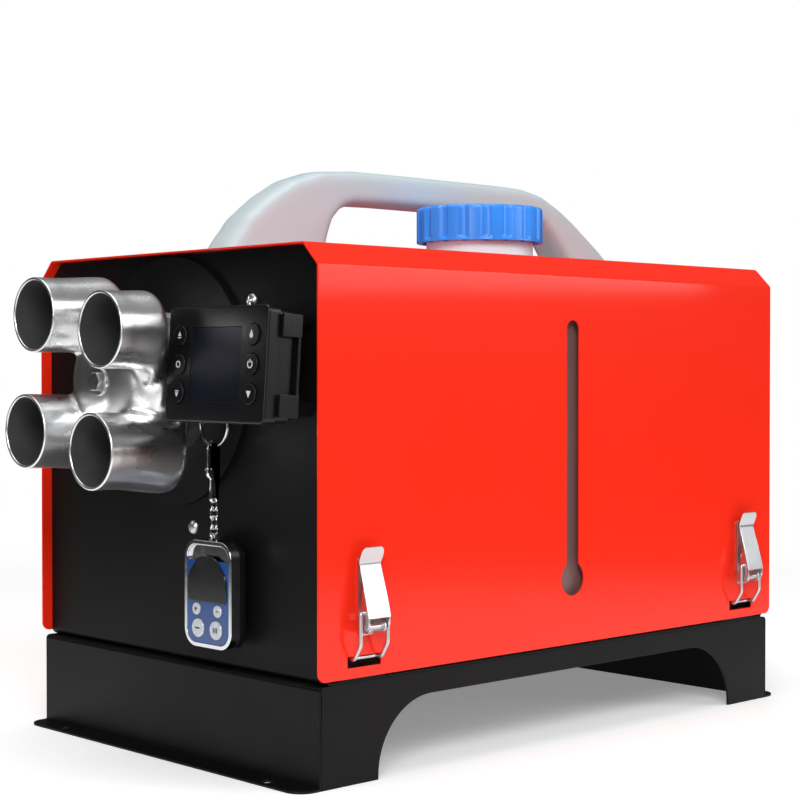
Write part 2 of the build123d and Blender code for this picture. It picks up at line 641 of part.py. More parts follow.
def fuel_cap():
    bottom = CAP_TOP - CAP_HEIGHT
    body = rod((NECK_X, NECK_Y, bottom), (NECK_X, NECK_Y, CAP_TOP), CAP_RADIUS)
    body = chamfer(body.edges().group_by(Axis.Z)[-1], 1.5)
    cutter = Pos(CAP_RADIUS + FLUTE_RADIUS * 0.72, 0) * Circle(FLUTE_RADIUS)
    flutes = Sketch() + [Rot(0, 0, k * 360 / CAP_FLUTES) * cutter for k in range(CAP_FLUTES)]
    flutes = Pos(NECK_X, NECK_Y) * flutes
    body -= extrude(Plane.XY.offset(bottom + 2) * flutes, CAP_HEIGHT)
    cavity_top = CAP_TOP - CAP_ROOF
    return body - rod((NECK_X, NECK_Y, bottom - 1), (NECK_X, NECK_Y, cavity_top), NECK_RADIUS + CAP_CLEARANCE)


def cap_liner():
    bottom = NECK_TOP + HANG_GAP
    return rod((NECK_X, NECK_Y, bottom), (NECK_X, NECK_Y, bottom + LINER_THICKNESS), NECK_RADIUS)


# ------------------------------------------------------------------ heater core
def case_outline(inset):
    width = CASE_WIDTH - 2 * inset
    return Pos(CORE_X, CORE_Z) * RectangleRounded(width, width, CASE_CORNER - inset)


def core_rod(start_y, end_y, radius):
    return rod((CORE_X, start_y, CORE_Z), (CORE_X, end_y, CORE_Z), radius)


def heater_case():
    """Two mirrored shells that meet at the core's mid-height."""
    cone_end = CASE_FRONT - SPIGOT_CONE_LENGTH
    cone_start = CASE_WIDTH / 2 - 4
    body = extrude(front_plane(CASE_REAR) * case_outline(0), CASE_REAR - CASE_FRONT)
    body += taper((CORE_X, CASE_FRONT, CORE_Z), (CORE_X, cone_end, CORE_Z), cone_start, SPIGOT_RADIUS)
    body += core_rod(cone_end, -PANEL_Y, SPIGOT_RADIUS)
    inner_length = CASE_REAR - CASE_FRONT - 2 * CASE_WALL
    body -= extrude(front_plane(CASE_REAR - CASE_WALL) * case_outline(CASE_WALL), inner_length)
    body -= taper((CORE_X, CASE_FRONT + CASE_WALL, CORE_Z), (CORE_X, cone_end, CORE_Z),
                  cone_start - CASE_WALL, SPIGOT_RADIUS - CASE_WALL)
    body -= core_rod(cone_end + 0.01, -PANEL_Y - 1, SPIGOT_RADIUS - CASE_WALL)
    body -= core_rod(CASE_REAR - 2 * CASE_WALL, CASE_REAR + 1, FAN_RADIUS + 1)
    body -= pipe_bosses(1.0)
    body -= rod((LINE_X, NIPPLE_Y, CASE_BOTTOM - 1), (LINE_X, NIPPLE_Y, CORE_Z), HOSE_RADIUS)
    halves = Part()
    for low, high in ((CORE_Z - CASE_WIDTH, CORE_Z), (CORE_Z, CORE_Z + CASE_WIDTH)):
        keep = block((CORE_X - CASE_WIDTH, -COVER_LENGTH, low), (CORE_X + CASE_WIDTH, COVER_LENGTH, high))
        halves = Compound(children=[*halves.solids(), *(body & keep).solids()])
    return halves


def pipe_bosses(margin):
    """Round stubs under the heat exchanger that carry the two pipes, wider by margin."""
    low = CASE_BOTTOM - 6
    high = CORE_Z - EXCHANGER_RADIUS / 2
    bosses = rod((PIPE_X, EXHAUST_Y, low), (PIPE_X, EXHAUST_Y, high), PIPE_RADIUS + 2 + margin)
    return bosses + rod((PIPE_X, AIR_PIPE_Y, low), (PIPE_X, AIR_PIPE_Y, high), AIR_PIPE_RADIUS + 2 + margin)


def heat_exchanger():
    """Cast pot with lengthwise cooling fins, closed at the front, open at the burner end."""
    body = core_rod(EXCHANGER_REAR, EXCHANGER_FRONT, EXCHANGER_RADIUS)
    fin_length = EXCHANGER_REAR - EXCHANGER_FRONT - 6
    fins = Sketch()
    for k in range(FIN_COUNT):
        fin = Pos(EXCHANGER_RADIUS / 2 + FIN_RADIUS / 2 - 1, 0) * Rectangle(
            FIN_RADIUS - EXCHANGER_RADIUS + 2, FIN_THICKNESS)
        fins += Pos(CORE_X, CORE_Z) * Rot(0, 0, (k + 0.5) * 360 / FIN_COUNT) * fin
    body += extrude(front_plane(EXCHANGER_REAR - 6) * fins, fin_length)
    body += pipe_bosses(0)
    body -= core_rod(EXCHANGER_REAR + 1, EXCHANGER_FRONT + EXCHANGER_WALL, EXCHANGER_RADIUS - EXCHANGER_WALL)
    low = CASE_BOTTOM - 7
    for y, radius in ((EXHAUST_Y, PIPE_RADIUS), (AIR_PIPE_Y, AIR_PIPE_RADIUS)):
        body -= rod((PIPE_X, y, low), (PIPE_X, y, CORE_Z - EXCHANGER_RADIUS / 2), radius - PIPE_WALL)
    return body


def burner():
    """Burner tube on its round flange, with the glow plug through the flange."""
    tube = core_rod(EXCHANGER_REAR, BURNER_FRONT, BURNER_RADIUS)
    tube -= core_rod(EXCHANGER_REAR + 1, BURNER_FRONT - 1, BURNER_RADIUS - BURNER_WALL)
    flange = core_rod(EXCHANGER_REAR, EXCHANGER_REAR + BURNER_FLANGE, EXCHANGER_RADIUS + 6)
    plug_x = CORE_X + BURNER_RADIUS / 2
    flange_rear = EXCHANGER_REAR + BURNER_FLANGE
    plug = rod((plug_x, flange_rear, CORE_Z), (plug_x, EXCHANGER_REAR - 25, CORE_Z), 3)
    socket = rod((plug_x, flange_rear + 1, CORE_Z), (plug_x, EXCHANGER_REAR - 1, CORE_Z), 3.05)
    plug += rod((plug_x, flange_rear, CORE_Z), (plug_x, flange_rear + 6, CORE_Z), 4.5)
    supply = FilletPolyline((LINE_X, NIPPLE_Y, CASE_BOTTOM - NIPPLE_LENGTH), (LINE_X, NIPPLE_Y, CORE_Z - 22),
                            (LINE_X, flange_rear, CORE_Z - 22), radius=8)
    nipple = wire_loop(supply, HOSE_BORE)
    return Compound(children=[*(tube + flange - socket + nipple).solids(), *plug.solids()])


def blower_motor():
    motor = core_rod(MOTOR_FRONT, MOTOR_REAR, MOTOR_RADIUS)
    vane_reach = CASE_WIDTH / 2 - CASE_WALL
    for k in range(MOTOR_VANES):
        vane = Pos(vane_reach / 2 + VANE_ROOT / 2, 0) * Rectangle(vane_reach - VANE_ROOT, VANE_THICKNESS)
        vane = Pos(CORE_X, CORE_Z) * Rot(0, 0, k * 360 / MOTOR_VANES) * vane
        motor += extrude(front_plane(MOTOR_REAR) * vane, (MOTOR_REAR - MOTOR_FRONT) * 0.6)
    return motor - core_rod(MOTOR_FRONT - 1, MOTOR_REAR + 1, SHAFT_RADIUS + SHAFT_CLEARANCE)


def blower_rotor():
    """Motor shaft with the warm-air fan at the rear and the combustion fan at the front."""
    fan_front = MOTOR_REAR + 6
    shaft_front = MOTOR_FRONT - 18
    rotor = core_rod(shaft_front, fan_front + FAN_LENGTH, SHAFT_RADIUS)
    rotor += core_rod(fan_front, fan_front + FAN_LENGTH, FAN_HUB_RADIUS)
    for k in range(FAN_BLADES):
        length = FAN_RADIUS - FAN_HUB_RADIUS + BLADE_ROOT
        blade = Rot(0, 0, 90 - BLADE_PITCH) * Box(BLADE_THICKNESS, FAN_LENGTH * 1.1, length)
        blade = Pos(0, 0, (FAN_RADIUS + FAN_HUB_RADIUS - BLADE_ROOT) / 2) * blade
        blade = Rot(0, k * 360 / FAN_BLADES, 0) * blade
        rotor += Pos(CORE_X, fan_front + FAN_LENGTH / 2, CORE_Z) * blade
    rotor &= core_rod(shaft_front, fan_front + FAN_LENGTH, FAN_RADIUS)
    wheel = core_rod(shaft_front, shaft_front + 3, FAN_HUB_RADIUS * 2)
    for k in range(FAN_BLADES):
        vane = Pos(CORE_X, CORE_Z) * Rot(0, 0, k * 360 / FAN_BLADES) * Pos(FAN_HUB_RADIUS * 1.35, 0)
        vane = vane * Rot(0, 0, 30) * Rectangle(FAN_HUB_RADIUS, BLADE_THICKNESS)
        wheel += extrude(front_plane(shaft_front + 11) * vane, 8.5)
    return rotor + wheel


def control_board():
    """Board on two posts against the case's side wall, with its larger components."""
    wall_x = CORE_X - CASE_WIDTH / 2 + CASE_WALL
    back = wall_x + BOARD_STANDOFF
    front = back + BOARD_THICKNESS
    z = CORE_Z + BOARD_RISE
    board = block((back, BOARD_Y - BOARD_LENGTH / 2, z - BOARD_HEIGHT / 2),
                  (front, BOARD_Y + BOARD_LENGTH / 2, z + BOARD_HEIGHT / 2))
    for y in (BOARD_Y - BOARD_POST_SPACING / 2, BOARD_Y + BOARD_POST_SPACING / 2):
        board += rod((wall_x, y, z), (back + BOARD_THICKNESS / 2, y, z), BOARD_POST_RADIUS)
    chip_y = BOARD_Y - BOARD_LENGTH / 4
    board += block((front, chip_y - CHIP_SIZE / 2, z - CHIP_SIZE / 2),
                   (front + CHIP_HEIGHT, chip_y + CHIP_SIZE / 2, z + CHIP_SIZE / 2))
    can_y = BOARD_Y + BOARD_LENGTH / 4
    can = rod((front - BOARD_THICKNESS / 2, can_y, z), (front + CHIP_SIZE / 2, can_y, z), CHIP_SIZE / 3)
    return board + can


def heater_bracket():
    """Two bent straps that carry the case on the chassis floor."""
    low = CHASSIS_FLOOR
    leg = LEG_SPREAD + LEG_SHEET
    toe = LEG_SPREAD + LEG_FOOT
    half = [(0, CASE_BOTTOM), (leg, CASE_BOTTOM), (leg, low + LEG_SHEET), (toe, low + LEG_SHEET),
            (toe, low), (LEG_SPREAD, low),
            (LEG_SPREAD, CASE_BOTTOM - LEG_SHEET), (0, CASE_BOTTOM - LEG_SHEET)]
    section = outline(half) + mirror(outline(half), about=Plane.YZ)
    straps = []
    for y in LEG_PLACES:
        strap = extrude(front_plane(y + LEG_WIDTH / 2) * (Pos(CORE_X, 0) * section), LEG_WIDTH)
        straps += strap.solids()
    return Compound(children=straps)


def combustion_pipes():
    """Exhaust and combustion-air pipes, down through the floor, each with a bead that stops its hose."""
    top = CASE_BOTTOM - 6
    pipes = []
    for y, radius in ((EXHAUST_Y, PIPE_RADIUS), (AIR_PIPE_Y, AIR_PIPE_RADIUS)):
        bead_z = PIPE_END + HOSE_SEAT
        pipe = rod((PIPE_X, y, PIPE_END), (PIPE_X, y, top), radius)
        pipe += rod((PIPE_X, y, bead_z), (PIPE_X, y, bead_z + PIPE_BEAD_WIDTH), radius + PIPE_BEAD)
        pipe -= rod((PIPE_X, y, PIPE_END - 1), (PIPE_X, y, top + 1), radius - PIPE_WALL)
        pipes += pipe.solids()
    return Compound(children=pipes)


# ------------------------------------------------------------------ fuel line
def fuel_filter():
    rear = FILTER_FRONT + FILTER_LENGTH
    cup = rod((LINE_X, FILTER_FRONT, LINE_Z), (LINE_X, rear, LINE_Z), FILTER_RADIUS)
    cup = fillet(cup.edges(), 3)
    return cup + rod((LINE_X, FILTER_FRONT - 8, LINE_Z), (LINE_X, rear + 8, LINE_Z), HOSE_BORE)


def fuel_pump():
    rear = PUMP_FRONT + PUMP_LENGTH
    body = rod((LINE_X, PUMP_FRONT, LINE_Z), (LINE_X, rear, LINE_Z), PUMP_RADIUS)
    body += rod((LINE_X, PUMP_FRONT - 2, LINE_Z), (LINE_X, rear + 2, LINE_Z), PUMP_RADIUS * 0.6)
    body += rod((LINE_X, PUMP_FRONT - 10, LINE_Z), (LINE_X, rear + 10, LINE_Z), HOSE_BORE)
    return body


def pump_mount():
    y = PUMP_FRONT + PUMP_LENGTH / 2
    inner = PUMP_RADIUS + 0.05
    outer = PUMP_RADIUS + HOLDER_WALL
    foot_height = LINE_Z - CHASSIS_FLOOR
    section = Circle(outer) + Pos(0, -foot_height / 2) * Rectangle(1.4 * outer, foot_height)
    section -= Circle(inner)
    return extrude(front_plane(y + HOLDER_WIDTH / 2) * (Pos(LINE_X, LINE_Z) * section), HOLDER_WIDTH)


def fuel_hoses():
    """Tank to filter, filter to pump, and pump up to the burner."""
    wall_x = -TANK_CHANNEL / 2
    filter_rear = FILTER_FRONT + FILTER_LENGTH
    pump_rear = PUMP_FRONT + PUMP_LENGTH
    nipple_end = CASE_BOTTOM - NIPPLE_LENGTH
    bend = 2.6 * HOSE_RADIUS
    tank_path = FilletPolyline((wall_x + 10, SPIGOT_Y, LINE_Z), (LINE_X, SPIGOT_Y, LINE_Z),
                               (LINE_X, FILTER_FRONT - 8, LINE_Z), radius=bend)
    pump_path = FilletPolyline((LINE_X, pump_rear + 10, LINE_Z), (LINE_X, NIPPLE_Y, LINE_Z),
                               (LINE_X, NIPPLE_Y, nipple_end), radius=1.8 * bend)
    hoses = []
    for path in (tank_path, pump_path):
        hoses += wire_loop(path, HOSE_RADIUS).solids()
    hoses += rod((LINE_X, filter_rear + 8, LINE_Z), (LINE_X, PUMP_FRONT - 10, LINE_Z), HOSE_RADIUS).solids()
    return Compound(children=hoses)


# ------------------------------------------------------------------ four-way outlet
def nozzle_centres():
    reach = NOZZLE_SPACING / sqrt(2)
    return [(reach * cos(radians(45 + 90 * k + NOZZLE_ROLL)), reach * sin(radians(45 + 90 * k + NOZZLE_ROLL)))
            for k in range(4)]


def dome_outline(inset):
    """Half section of the plenum between the branches, radius by height."""
    foot = (DOME_FOOT_RADIUS - inset, 0)
    waist = (DOME_WAIST_RADIUS - inset, DOME_WAIST_HEIGHT)
    shoulder = (DOME_SHOULDER_RADIUS - 0.7 * inset, DOME_SHOULDER_HEIGHT - 0.7 * inset)
    top = (DOME_TOP_RADIUS, DOME_HEIGHT - inset)
    crown = (0, DOME_HEIGHT - inset)
    return make_face([Line((0, 0), foot), Line(foot, waist), ThreePointArc(waist, shoulder, top),
                      Line(top, crown), Line(crown, (0, 0))])


def outlet_form(inset, end_extra):
    """Plenum and the four branches that grow out of it, drawn in by inset."""
    form = revolve(dome_outline(inset), Axis.Y)
    form = Plane(origin=(0, -BASE_Y, 0), x_dir=(1, 0, 0), z_dir=(0, 0, -1)) * form
    straight_y = -NOZZLE_END + NOZZLE_STRAIGHT
    flare_y = straight_y + FLARE_LENGTH
    for x, z in nozzle_centres():
        root = Pos(x * ROOT_SHARE, z * ROOT_SHARE) * Circle(ROOT_RADIUS - inset)
        mouth = Pos(x, z) * Circle(NOZZLE_RADIUS - inset)
        form += extrude(front_plane(-BASE_Y) * root, -BASE_Y - flare_y)
        form += loft([front_plane(flare_y) * root, front_plane(straight_y) * mouth])
        form += rod((x, straight_y, z), (x, -NOZZLE_END - end_extra, z), NOZZLE_RADIUS - inset)
    return form


def air_splitter():
    flange_half = RING_RADIUS - FLANGE_INSET
    flange = Rot(0, 0, NOZZLE_ROLL) * RectangleRounded(2 * flange_half, 2 * flange_half, FLANGE_CORNER)
    casting = outlet_form(0, 0) + extrude(front_plane(-BASE_Y) * flange, FLANGE_THICKNESS)
    casting -= outlet_form(NOZZLE_WALL, 1)
    hub_y = -BASE_Y - DOME_HEIGHT
    casting += rod((0, hub_y, 0), (0, hub_y + HUB_HEIGHT, 0), HUB_RADIUS)
    casting -= rod((0, hub_y - 1, 0), (0, hub_y + HUB_HEIGHT + 1, 0), BOLT_RADIUS + BOLT_CLEARANCE)
    return Pos(CORE_X, 0, CORE_Z) * casting


def splitter_ring():
    """Ring between panel and casting, with a three-armed hub that the centre bolt screws into."""
    ring = Circle(RING_RADIUS) - Circle(RING_BORE_RADIUS)
    for k in range(HUB_ARMS):
        arm = Pos(RING_BORE_RADIUS / 2, 0) * Rectangle(RING_BORE_RADIUS + 1, HUB_ARM_WIDTH)
        ring += Rot(0, 0, 90 + k * 360 / HUB_ARMS) * arm
    ring += Circle(HUB_RADIUS)
    plate = extrude(front_plane(-PANEL_Y) * (Pos(CORE_X, CORE_Z) * ring), RING_THICKNESS)
    plate += core_rod(-PANEL_Y, -PANEL_Y + HUB_DEPTH, HUB_RADIUS)
    return plate - core_rod(-PANEL_Y + HUB_DEPTH + 1, -BASE_Y - 1, BOLT_RADIUS + BOLT_CLEARANCE)


def splitter_bolt():
    head_back = -BASE_Y - DOME_HEIGHT
    head = Pos(CORE_X, CORE_Z) * RegularPolygon(BOLT_HEAD_WIDTH / 2, 6, major_radius=False)
    bolt = extrude(front_plane(head_back) * head, BOLT_HEAD_HEIGHT)
    return bolt + core_rod(head_back, -PANEL_Y + HUB_DEPTH - BOLT_RADIUS / 2, BOLT_RADIUS)


# ------------------------------------------------------------------ display
def display_plane():
    """Plane on the display's front face: x to the right, y up along the face, z out of it."""
    lean = radians(DISPLAY_LEAN)
    return Plane(origin=(DISPLAY_X, -PANEL_Y - DISPLAY_REACH, DISPLAY_Z), x_dir=(1, 0, 0),
                 z_dir=(0, -cos(lean), sin(lean)))


def plate_at(plane, sketch, low, high):
    """Sketch extruded between two heights over a plane."""
    return extrude(plane.offset(low) * sketch, high - low)


def display_key_places():
    return [(side * KEY_COLUMN, row * KEY_SPACING) for side in (-1, 1) for row in (1, 0, -1)]


def display_front():
    plane = display_plane()
    body = plate_at(plane, RectangleRounded(DISPLAY_WIDTH, DISPLAY_HEIGHT, BEZEL_CORNER), -BEZEL_DEPTH, 0)
    front_rim = [e for e in body.edges() if abs(plane.to_local_coords(e.center()).Z) < 0.01]
    body = fillet(front_rim, 1.2)
    body -= plate_at(plane, RectangleRounded(SCREEN_WIDTH, SCREEN_HEIGHT, 1), -SCREEN_RECESS, 1)
    flange_radius = KEY_RADIUS + 1.1
    for x, y in display_key_places():
        spot = Pos(x, y)
        body -= plate_at(plane, spot * Circle(KEY_RADIUS + KEY_CLEARANCE), -BEZEL_DEPTH - 1, 1)
        well = spot * Circle(flange_radius + KEY_CLEARANCE)
        body -= plate_at(plane, well, -BEZEL_DEPTH - 1, -KEY_SKIRT + HANG_GAP)
    return body


def display_screen():
    size = RectangleRounded(SCREEN_WIDTH - 0.3, SCREEN_HEIGHT - 0.3, 0.9)
    return plate_at(display_plane(), size, -SCREEN_RECESS, -SCREEN_RECESS + SCREEN_THICKNESS)


def display_back():
    plane = display_plane()
    shape = RectangleRounded(DISPLAY_WIDTH - 2, DISPLAY_HEIGHT - 2, BEZEL_CORNER)
    body = plate_at(plane, shape, -DISPLAY_DEPTH, -BEZEL_DEPTH)
    rear_rim = [e for e in body.edges() if abs(plane.to_local_coords(e.center()).Z + DISPLAY_DEPTH) < 0.01]
    return chamfer(rear_rim, 1.5)


def display_button(place):
    plane = display_plane()
    spot = Pos(*place)
    cap = plate_at(plane, spot * Circle(KEY_RADIUS), -KEY_SKIRT, KEY_RISE)
    crown = [e for e in cap.edges() if abs(plane.to_local_coords(e.center()).Z - KEY_RISE) < 0.01]
    cap = fillet(crown, 0.5)
    return cap + plate_at(plane, spot * Circle(KEY_RADIUS + 1.1), -KEY_SKIRT - KEY_FLANGE, -KEY_SKIRT)


def display_bracket():
    """Holder plate on four posts, with gripping lips at the display's right corners and the key-ring pin."""
    plane = display_plane()
    back = -DISPLAY_DEPTH - HOLDER_SHEET
    half_w = DISPLAY_WIDTH / 2
    half_h = DISPLAY_HEIGHT / 2
    plate = Pos(1, 0) * RectangleRounded(DISPLAY_WIDTH + 2, DISPLAY_HEIGHT - 6, 3)
    holder = plate_at(plane, plate, back, -DISPLAY_DEPTH)
    for y in (half_h - HOLDER_LIP / 2 - 4, -half_h + HOLDER_LIP / 2 + 4):
        lip = Pos(half_w + 0.5 + HOLDER_SHEET / 2, y) * Rectangle(HOLDER_SHEET, HOLDER_LIP)
        arm = Pos(half_w, y) * Rectangle(2 * HOLDER_SHEET + 1, HOLDER_LIP)
        holder += plate_at(plane, arm, back, -DISPLAY_DEPTH) + plate_at(plane, lip, back, -BEZEL_DEPTH)
    posts = Part()
    for x in (POST_X - POST_SPACING_X / 2, POST_X + POST_SPACING_X / 2):
        for z in (DISPLAY_Z - POST_SPACING_Z / 2, DISPLAY_Z + POST_SPACING_Z / 2):
            posts += rod((x, -PANEL_Y, z), (x, -PANEL_Y - DISPLAY_REACH, z), POST_RADIUS)
    wide = Rectangle(3 * DISPLAY_WIDTH, 3 * DISPLAY_HEIGHT)
    beyond = plate_at(plane, wide, -DISPLAY_DEPTH - HOLDER_SHEET / 2, 2 * DISPLAY_REACH)
    end = HANG_Y + HANG_PIN_REACH
    pin = rod((HANG_X, -PANEL_Y - DISPLAY_REACH, HANG_Z), (HANG_X, end, HANG_Z), HANG_PIN_RADIUS)
    pin += rod((HANG_X, end - PIN_HEAD, HANG_Z), (HANG_X, end, HANG_Z), HANG_PIN_RADIUS + PIN_HEAD)
    return holder + (posts + pin - beyond)


def display_lead():
    """Short lead from the display's rear to the panel, with its grommet moulded on."""
    plane = display_plane()
    lead = rod((LEAD_X, -PANEL_Y + 10, LEAD_Z), (LEAD_X, -PANEL_Y - DISPLAY_REACH, LEAD_Z), LEAD_RADIUS)
    wide = Rectangle(3 * DISPLAY_WIDTH, 3 * DISPLAY_HEIGHT)
    lead -= plate_at(plane, wide, -DISPLAY_DEPTH - HOLDER_SHEET, 2 * DISPLAY_REACH)
    inner = -PANEL_Y + CHASSIS_SHEET
    for start, end, radius in ((-PANEL_Y, -PANEL_Y - GROMMET_LIP, GROMMET_RADIUS),
                               (inner, inner + GROMMET_LIP, GROMMET_RADIUS),
                               (-PANEL_Y, inner, 2 * LEAD_RADIUS - 0.05)):
        lead += rod((LEAD_X, start, LEAD_Z), (LEAD_X, end, LEAD_Z), radius)
    return lead


# ------------------------------------------------------------------ key-ring remote
def key_ring():
    hoop = Plane(origin=(HANG_X, HANG_Y, RING_CENTRE_Z), z_dir=(0, 1, 0)) * Torus(RING_LOOP, RING_WIRE)
    return hoop


def stadium(height, width):
    """Upright slot outline."""
    return RectangleRounded(width, height, width / 2 - 0.01)


def clasp_plane():
    return side_plane(HANG_X - CLASP_THICKNESS / 2)


def clasp_window():
    """Inner opening of the clasp: ring hole at the top, room for the gate below it."""
    depth = 14.0
    return Pos(HANG_Y, CLASP_HOLE_Z + CLASP_HOLE_RADIUS - depth / 2) * stadium(depth, 2 * CLASP_HOLE_RADIUS)


def gate_outline(clearance):
    """Gate bar on the front of the clasp, from its pivot up to the nose."""
    x = HANG_Y - CLASP_HOLE_RADIUS - CLASP_WIRE / 2
    low = gate_pivot_z()
    length = GATE_LENGTH + clearance
    bar = Pos(x, low + length / 2) * Rectangle(CLASP_WIRE + 2 * clearance, length)
    return bar + Pos(x, low) * Circle(CLASP_WIRE / 2 + clearance)


def swung_gate(angle):
    """Room for the gate when it is pushed in by angle."""
    pivot = (HANG_Y - CLASP_HOLE_RADIUS - CLASP_WIRE / 2, gate_pivot_z())
    return Pos(*pivot) * Rot(0, 0, -angle) * Pos(-pivot[0], -pivot[1]) * gate_outline(HANG_GAP)


def gate_pivot_z():
    return CLASP_HOLE_Z - GATE_DROP


def clasp_body():
    top_radius = CLASP_HOLE_RADIUS + CLASP_WIRE
    low = EYE_BAR_TOP - EYE_BAR
    head = Pos(HANG_Y, CLASP_HOLE_Z - 6) * stadium(2 * top_radius + 12, 2 * top_radius)
    tail = Pos(HANG_Y, (low + CLASP_HOLE_Z - 8) / 2) * stadium(CLASP_HOLE_Z - 8 - low, 5.6)
    shape = head + tail - clasp_window()
    for step in range(GATE_STEPS + 1):
        shape -= swung_gate(GATE_SWING * step / GATE_STEPS)
    shape -= Pos(HANG_Y, EYE_BAR_TOP + EYE_HOLE / 2) * Circle(EYE_HOLE / 2)
    return extrude(clasp_plane() * shape, CLASP_THICKNESS)


def clasp_gate():
    return extrude(clasp_plane() * gate_outline(0), CLASP_THICKNESS)


def chain_link(turned, centre_z):
    """Oval wire link, in the Y-Z plane where turned, else in the X-Z plane."""
    side = Vector(0, 1, 0) if turned else Vector(1, 0, 0)
    centre = Vector(HANG_X, HANG_Y, centre_z)
    across = side * LINK_BEND
    up = Vector(0, 0, LINK_STRAIGHT / 2)
    crown = Vector(0, 0, LINK_REACH)
    path = Wire([Line(centre - across - up, centre - across + up),
                 ThreePointArc(centre - across + up, centre + crown, centre + across + up),
                 Line(centre + across + up, centre + across - up),
                 ThreePointArc(centre + across - up, centre - crown, centre - across - up)])
    section = Plane(origin=centre - across, z_dir=(0, 0, 1)) * Circle(LINK_WIRE)
    return sweep(section, path=path)


def key_chain():
    links = []
    for k in range(LINK_COUNT):
        links += chain_link(k % 2 == 1, LINK_TOP_Z - k * LINK_PITCH).solids()
    return Compound(children=links)


def fob_outline(inset):
    centre = Pos(HANG_X, FOB_TOP - FOB_HEIGHT / 2)
    return centre * RectangleRounded(FOB_WIDTH - 2 * inset, FOB_HEIGHT - 2 * inset, FOB_CORNER - inset)


def fob_depths():
    """Y of the remote's back, of the split between shell and frame, of the face and of the front."""
    back = HANG_Y + LUG_THICKNESS / 2 + FOB_BACK_DEPTH + 0.1
    return back, back - FOB_BACK_DEPTH, back - FOB_THICKNESS + 2.0, back - FOB_THICKNESS


def fob_back():
    back, split, _, _ = fob_depths()
    shell = extrude(front_plane(back) * fob_outline(0), back - split)
    return fillet(shell.edges().group_by(Axis.Y)[-1], 1.5)


def fob_frame():
    """Chrome band round the remote, with the lug that hangs on the chain."""
    _, split, face, front = fob_depths()
    band = extrude(front_plane(split) * fob_outline(0), split - front)
    band -= extrude(front_plane(face) * fob_outline(FOB_FACE_INSET), face - front + 1)
    arch = Pos(HANG_X, FOB_TOP - 5.5) * Rectangle(15, 3)
    band -= extrude(front_plane(front + 1) * arch, 3)
    lug = Pos(HANG_X, FOB_TOP + 1.2) * Rectangle(7, 6) + Pos(HANG_X, LUG_HOLE_TOP - 1.4) * Circle(3)
    lug -= Pos(HANG_X, LUG_HOLE_TOP - 1.4) * Circle(1.4)
    lug &= Pos(HANG_X, LUG_HOLE_TOP - 10) * Rectangle(7, 23.2)
    return band + extrude(front_plane(HANG_Y + LUG_THICKNESS / 2) * lug, LUG_THICKNESS)


def fob_key_places():
    low = FOB_TOP - FOB_HEIGHT
    return [(HANG_X - 9.5, low + 21, FOB_KEY_SMALL), (HANG_X + 9.5, low + 21, FOB_KEY_SMALL),
            (HANG_X - 8, low + 10.5, FOB_KEY_LARGE), (HANG_X + 8, low + 10.5, FOB_KEY_LARGE)]


def fob_face():
    _, _, face, front = fob_depths()
    plate = fob_outline(FOB_FACE_INSET + 0.05)
    top_cut = Pos(HANG_X, FOB_TOP) * Rectangle(FOB_WIDTH, 22)
    plate -= top_cut
    for x, z, radius in fob_key_places():
        plate -= Pos(x, z) * Circle(radius + FOB_KEY_CLEARANCE)
    return extrude(front_plane(face) * plate, face - front)


def fob_window():
    _, _, face, front = fob_depths()
    window = Pos(HANG_X, FOB_TOP - 22) * RectangleRounded(30, 25, 4)
    return extrude(front_plane(front) * window, 0.9)


def fob_button(place):
    _, _, face, front = fob_depths()
    x, z, radius = place
    key = rod((x, face - 0.9, z), (x, front - FOB_KEY_RISE, z), radius)
    return fillet(key.edges().group_by(Axis.Y)[0], 0.5)


# ------------------------------------------------------------------ toggle latches
def latch_place(piece, side, y):
    """A latch is drawn on the +X side at Y = 0."""
    piece = piece if side > 0 else mirror(piece, about=Plane.YZ)
    return Pos(0, y, 0) * piece


def latch_plate():
    """Base plate with two ears that hold the pivot pin."""
    wall = COVER_WIDTH / 2
    sheet = Pos(0, LATCH_PLATE_BOTTOM + LATCH_PLATE_HEIGHT / 2) * RectangleRounded(
        LATCH_PLATE_WIDTH, LATCH_PLATE_HEIGHT, 3)
    plate = extrude(side_plane(wall) * sheet, LATCH_SHEET)
    for y in (-EAR_SPREAD / 2, EAR_SPREAD / 2):
        ear = Pos(PIVOT_X, PIVOT_Z) * Circle(EAR_RADIUS)
        ear += Pos((wall + PIVOT_X) / 2, PIVOT_Z) * Rectangle(PIVOT_X - wall, 2 * EAR_RADIUS)
        plate += extrude(front_plane(y + LATCH_SHEET / 2) * ear, LATCH_SHEET)
    half_pin = LEVER_WIDTH / 2 - 0.2
    plate += rod((PIVOT_X, -half_pin, PIVOT_Z), (PIVOT_X, half_pin, PIVOT_Z), PIVOT_RADIUS)
    for z in (LATCH_PLATE_BOTTOM + 18, LATCH_PLATE_BOTTOM + 33):
        plate += Pos(wall + LATCH_SHEET, 0, z) * Rot(0, 90, 0) * Cone(2.6, 1.6, 1.0, align=UP)
    return plate


